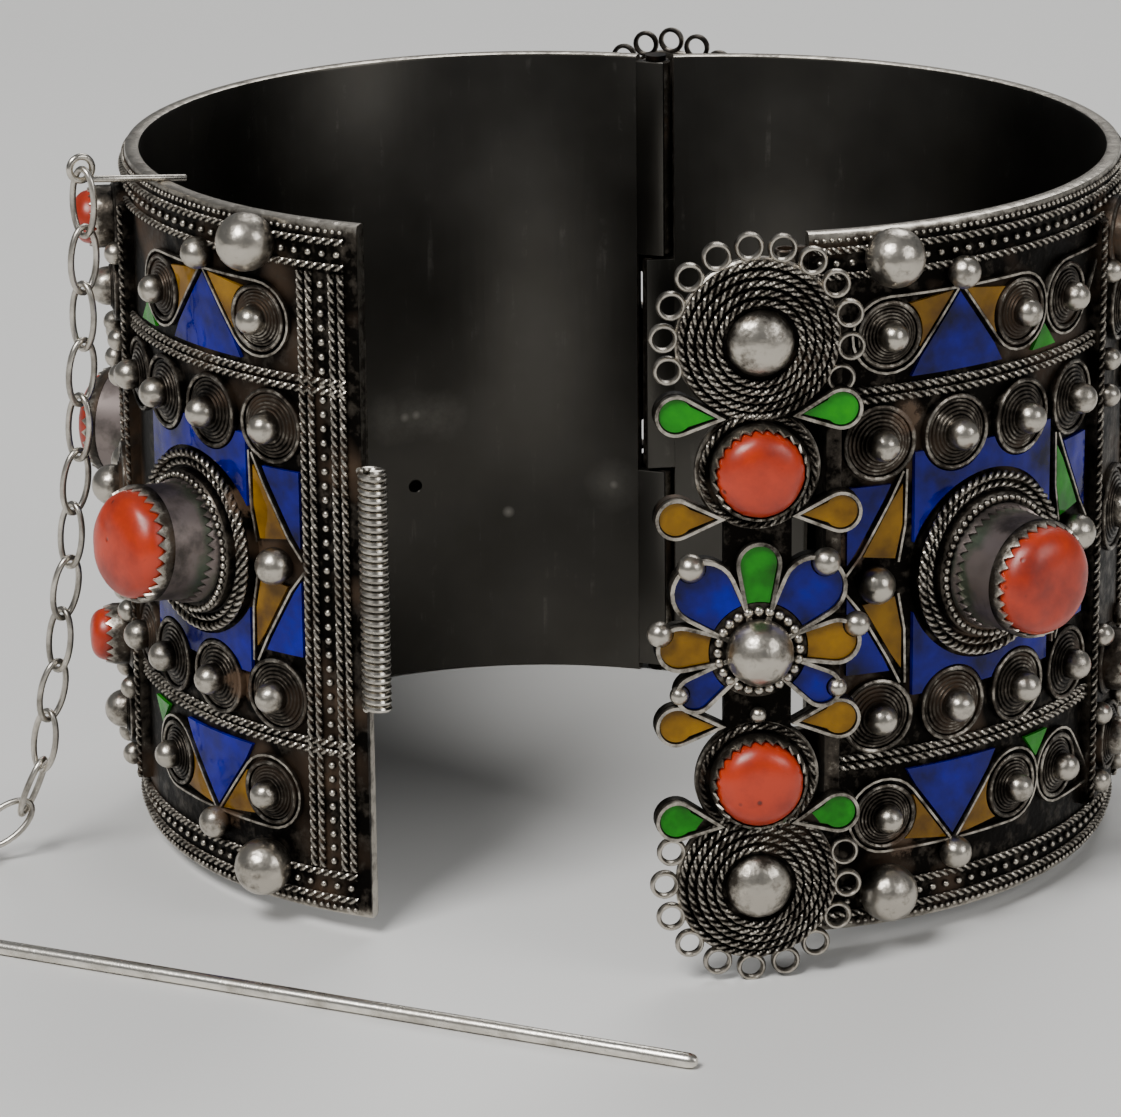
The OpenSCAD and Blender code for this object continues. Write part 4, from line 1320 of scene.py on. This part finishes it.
@dataclass
class Closure:
    """The parts of the fastening: hidden tubes, wire coil and chain staple."""

    axis: tuple[float, float] = (-0.45, -32.6)
    tube_z: tuple[tuple[float, float], ...] = ((1, 17), (37.7, 55.5))
    tube_r: float = 0.86
    bore: float = 0.64
    coil_z: tuple[float, float] = (17.4, 37.3)
    coil_r: float = 1.2
    wire: float = 0.27
    turns: int = 33
    staple_m: float = 24.0
    staple_tilt: float = 6.0

    def foot(self, made: Shape) -> None:
        """Adds the closure strip's foot and the hidden tubes."""
        out, soft = -BAND.radius - BAND.strip_under - 0.3, 0.08
        made.join(block((2, out, 5), (3.2, -BAND.radius + 0.6, 51), 0.3))
        for low, high in self.tube_z:
            rows = [(self.bore, low, 0), (self.tube_r - soft, low, 0.4), (self.tube_r, low + 0.1, 0.5),
                    (self.tube_r, high - 0.1, 0.5), (self.tube_r - soft, high, 0.4), (self.bore, high, 0)]
            made.join(lathe(rows, 20, True), [Matrix.Translation((*self.axis, 0))])
            made.join(block((0.29, -32.35, low), (1.89, -31.55, high), 0.2))

    def coil(self, made: Shape) -> None:
        """Winds the wire coil at the left half's end, with a loose last turn."""
        def section(radius: float, least: float, gain: float) -> list[tuple[float, float, float, float]]:
            """The wire's round section at a radius, with its wear and how much that grows outwards."""
            return [(radius + self.wire * math.cos(t), 0, self.wire * math.sin(t), least + gain * math.cos(t))
                    for t in angles(8)]

        steps = 20
        pitch = (self.coil_z[1] - self.coil_z[0] - 2 * self.wire) / self.turns
        turn = Shape.line(section(self.coil_r - self.wire, 0.45, 0.55), True)
        turn.spin(FULL_TURN, steps, pitch / steps)
        winding = Shape()
        base = self.coil_z[0] + self.wire
        winding.join(turn, [Matrix.Translation((0, 0, base + pitch * i)) for i in range(self.turns)])
        place = Matrix.Translation((-self.axis[0], self.axis[1], 0))
        made.join(winding.close(0.002).area(Area.BRIGHT), [place])
        last = Shape.line(section(0.95, 0.8, 0.0), True).spin(math.radians(250), 18).close()
        loose = Matrix.Translation((0.08, -0.08, self.coil_z[1] - 0.12))
        sagged = Matrix.Rotation(math.radians(-8), 4, "X")
        made.join(last.area(Area.BRIGHT), [place @ loose @ sagged])

    def staple(self, made: Shape) -> None:
        """Bends the staple that holds the chain over the upper rim."""
        rod = [(0, 0, 0.6), (0.24, 0.02, 0.8), (0.28, 0.1, 0.9), (0.28, 8.1, 0.9), (0.24, 8.2, 0.8),
               (0, 8.2, 0.6)]
        place = BAND.face(self.staple_m, BAND.height + 0.2, -0.6)
        place = place @ Matrix.Rotation(-math.radians(self.staple_tilt), 4, "X")
        made.join(lathe(rod, 12).area(Area.BRIGHT), [place @ Matrix.Translation((0, 0, -2))])
        on_end = Matrix.Translation((0, 0.85, 7)) @ Matrix.Rotation(math.pi / 2, 4, "Y")
        made.join(ring_of_wire(0.95, 0.28, 10, 28).area(Area.BRIGHT), [place @ on_end])


@dataclass
class LeftEnd:
    """The left half's end at the mouth: upright twists, a beaded row, the coil and the staple."""

    finishes: Finishes
    twist_m: tuple[float, ...] = (2.7, 3.5, 5.5, 6.3)
    bead_m: float = 4.5
    bead_pitch: float = 1.15
    low: float = 3.9

    def build(self, closure: Closure) -> None:
        """Builds the piece.

        Args:
            closure: Sizes of the fastening.
        """
        made = Shape()
        length = BAND.height - 2 * self.low
        for m in self.twist_m:
            made.join(up_band(twisted_wire(length, 0.3), m, self.low, 0.24))
        made.join(grain(0.33), [BAND.face(self.bead_m, self.low + 0.6 + self.bead_pitch * i, 0.08)
                                for i in range(int(length / self.bead_pitch))])
        closure.coil(made)
        closure.staple(made)
        made.stand("left_end", Half.LEFT, "left_band", "silver", self.finishes.silver)


@dataclass
class Chain:
    """The chain of oval links from the staple to the pin's eye."""

    finishes: Finishes
    half_long: float = 2.7
    half_wide: float = 1.3
    wire: float = 0.262
    hanging: int = 11
    hang_pitch: float = 4.68
    slack_pitch: float = 4.25
    top: tuple[float, float, float] = (-40.09, -18.96, 59.22)
    # Tilt from straight down of the first link and its growth to the next, heading and roll, in degrees
    hang_tilt: float = 2.0
    hang_gain: float = 1.15
    hang_heading: float = 156.0
    hang_roll: float = 75.0
    # Tilt, heading and roll of each link near the table
    landing: tuple[tuple[float, float, float], ...] = (
        (22, 171, 175), (57, 207, 74), (85, 230, 169), (91, 255, 85), (88, 285, 160), (87, 281, 46))

    def link(self) -> Shape:
        """Makes one oval link of round wire, long along local X."""
        section = [(1 + self.wire * math.cos(t), self.wire * math.sin(t), 0.8) for t in angles(10)]

        def way(p: Vector) -> Vector:
            """Where a point of the round ring goes on the oval."""
            t = math.atan2(p.y, p.x)
            out = Vector((math.cos(t) / self.half_long, math.sin(t) / self.half_wide, 0)).normalized()
            middle = Vector((self.half_long * math.cos(t), self.half_wide * math.sin(t), 0))
            return middle + out * (p.xy.length - 1) + Vector((0, 0, p.z))

        return lathe(section, 32, True).bend(way)

    def build(self) -> None:
        """Hangs the links one in the next."""
        rows = [(self.hang_tilt + self.hang_gain * k, self.hang_heading, self.hang_roll + 90 * (k % 2))
                for k in range(self.hanging)] + list(self.landing)
        places = []
        joint = Vector(self.top)
        for k, row in enumerate(rows):
            t, h, r = (math.radians(a) for a in row)
            way = Vector((math.sin(t) * math.cos(h), math.sin(t) * math.sin(h), -math.cos(t)))
            flat = way.cross(Vector((0, 0, 1))).normalized()
            side = flat * math.cos(r) + flat.cross(way) * math.sin(r)
            turned = Matrix((way, side, way.cross(side))).transposed().to_4x4()
            step = way * (self.hang_pitch if k < self.hanging else self.slack_pitch)
            places.append(Matrix.Translation(joint + step / 2) @ turned)
            joint += step
        made = Shape()
        made.join(self.link(), places)
        made.stand("chain_links", Half.LEFT, "chain", "chain_silver", [self.finishes.chain],
                   Matrix.Scale(MM, 4))


@dataclass
class ClosingPin:
    """The loose closing pin on the table, with an eye for the chain."""

    finishes: Finishes
    radius: float = 0.6
    length: float = 67.0
    tip: tuple[float, float] = (10.5, -52.4)
    heading: float = 163.4
    eye_r: float = 1.5
    eye_wire: float = 0.28
    eye_z: float = 1.6

    def build(self) -> None:
        """Draws the pin, its neck and its eye."""
        end, r, steps = self.length - self.eye_r, self.radius, 14
        profile = [(0, 0, 1), (r * 0.55, 0.04, 1), (r * 0.85, 0.25, 1), (r, 0.7, 1)]
        profile += [(r * (0.985 + 0.015 * math.sin(i * 1.9)), end * i / steps, 1) for i in range(1, steps)]
        profile += [(r, end - 0.4, 1), (r * 0.8, end, 1), (0, end, 1)]
        made = Shape()
        made.join(lathe(profile, 20), [Matrix.Rotation(math.pi / 2, 4, "Y")])
        top = self.eye_z + 0.2 - r
        neck = lathe([(0, 0, 1), (0.5, 0, 1), (0.5, top - 0.1, 1), (0.35, top, 1), (0, top, 1)], 16)
        made.join(neck, [Matrix.Translation((end - 0.5, 0, 0))])
        eye = ring_of_wire(self.eye_r, self.eye_wire, 10, 32)
        made.join(eye, [Matrix.Translation((self.length, 0, self.eye_z - r))])
        place = Matrix.Translation((*self.tip, r)) @ Matrix.Rotation(math.radians(self.heading), 4, "Z")
        made.stand("closing_pin_wire", Half.LEFT, "closing_pin", "pin_silver", [self.finishes.pin],
                   Matrix.Scale(MM, 4) @ place)


@dataclass
class Studio:
    """Plain pale table, soft lights and the camera at the photograph's angle."""

    # Place of the camera in millimetres, and the ways it looks, has its right side and stands up
    eye: tuple[float, float, float] = (39.12, -394.95, 161.03)
    forward: tuple[float, float, float] = (-0.1051, 0.9378, -0.3310)
    right: tuple[float, float, float] = (0.9942, 0.1070, -0.0124)
    up: tuple[float, float, float] = (-0.0238, 0.3303, 0.9436)
    film: float = 36.0
    surround: str = "#c9ccd0"
    surround_power: float = 0.26

    def add(self, name: str, data: bpy.types.ID) -> bpy.types.Object:
        """Adds an object to the scene."""
        made = bpy.data.objects.new(name, data)
        bpy.context.scene.collection.objects.link(made)
        return made

    def floor(self) -> None:
        """Lays the pale table."""
        g = Graph("pale matt table")
        haze = g.add("TexNoise", {"Scale": 3.0})
        tone = g.add("ValToRGB", (haze,), stops=((0.3, "#d6d5d2"), (0.7, "#dddcd9")))
        bm = bmesh.new()
        bmesh.ops.create_grid(bm, x_segments=1, y_segments=1, size=3.0)
        mesh = bpy.data.meshes.new("table")
        bm.to_mesh(mesh)
        bm.free()
        mesh.materials.append(g.surface({"Base Color": tone, "Roughness": 0.7}))
        self.add("table", mesh)

    def light(self, name: str, place: Sequence[float], size: float, power: float) -> None:
        """Hangs one soft box that faces the bracelet.

        Args:
            name: Name of the light.
            place: Its place in metres.
            size: Its side in metres.
            power: Its power in watts.
        """
        data = bpy.data.lights.new(name, "AREA")
        data.shape = "SQUARE"
        data.size = size
        data.energy = power
        lamp = self.add(name, data)
        lamp.location = place
        aim = Vector((0, 0, 0.03)) - Vector(place)
        lamp.rotation_euler = aim.to_track_quat("-Z", "Y").to_euler()

    def lights(self) -> None:
        """Sets the lights and a dim, even surround."""
        self.light("key", (-0.3, -0.5, 0.75), 0.35, 9.0)
        self.light("fill", (0.7, -0.35, 0.45), 0.4, 2.2)
        self.light("back", (0.1, 0.6, 0.7), 0.5, 3.5)
        world = bpy.data.worlds.new("surround")
        world.use_nodes = True
        ground = world.node_tree.nodes["Background"]
        ground.inputs[0].default_value = linear(self.surround)
        ground.inputs[1].default_value = self.surround_power
        bpy.context.scene.world = world

    def camera(self) -> None:
        """Sets the camera where the photograph was taken from."""
        data = bpy.data.cameras.new("camera")
        data.sensor_fit = "HORIZONTAL"
        data.sensor_width = self.film
        data.lens = PHOTO_FOCAL_PX / PHOTO_WIDTH * self.film
        data.clip_start = 0.01
        camera = self.add("camera", data)
        turned = Matrix((self.right, self.up, [-c for c in self.forward])).transposed().to_4x4()
        camera.matrix_world = Matrix.Translation(Vector(self.eye) * MM) @ turned
        bpy.context.scene.camera = camera

    def build(self) -> None:
        """Sets up the whole studio."""
        self.floor()
        self.lights()
        self.camera()


def cover_foot(made: Shape) -> None:
    """Adds the foot that holds the hinge cover on the left half."""
    made.join(block((3.2, BAND.radius - 0.9, 5), (4.4, BAND.radius + BAND.strip_under + 0.3, 51), 0.3))


def main() -> None:
    """Builds the bracelet's finish in order and reports each piece."""
    logging.basicConfig(level=logging.INFO, format="%(message)s")
    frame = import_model()
    Studio().build()
    finishes = Finishes()
    closure = Closure()
    HalfBand(Half.LEFT, finishes, ((0.6, 18.85), (38.65, 56)), first=16.6, shift=1.0, nudge=1.0, tilt=7.0,
             big_ball_m=10.4, wire_start=2.4).build(frame)
    HalfBand(Half.RIGHT, finishes, ((19.15, 38.35),)).build(frame)
    LeftEnd(finishes).build(closure)
    FlatStrip("closure", Half.RIGHT, finishes, BAND.strip, closure.foot, middle_x=BAND.strip_x,
              under=BAND.strip_under, disc_r=6.3, top_z=49.7, bottom_z=6.4, ringlet_circle=7.15,
              ringlet_rows=((12, 85, 225), (11, 267, 219))).build(frame)
    FlatStrip("cover", Half.LEFT, finishes, BAND.cover, cover_foot, middle_x=0.0,
              under=BAND.strip_under + 0.1, disc_r=5.6, top_z=50.4, bottom_z=8.0, ringlet_circle=6.45,
              ringlet_rows=((11, 90, 215), (10, 270, 205))).build(frame)
    Chain(finishes).build()
    ClosingPin(finishes).build()
    dress(frame["nodes"]["hinge_pin"], finishes.ornament)


if __name__ == "__main__":
    main()
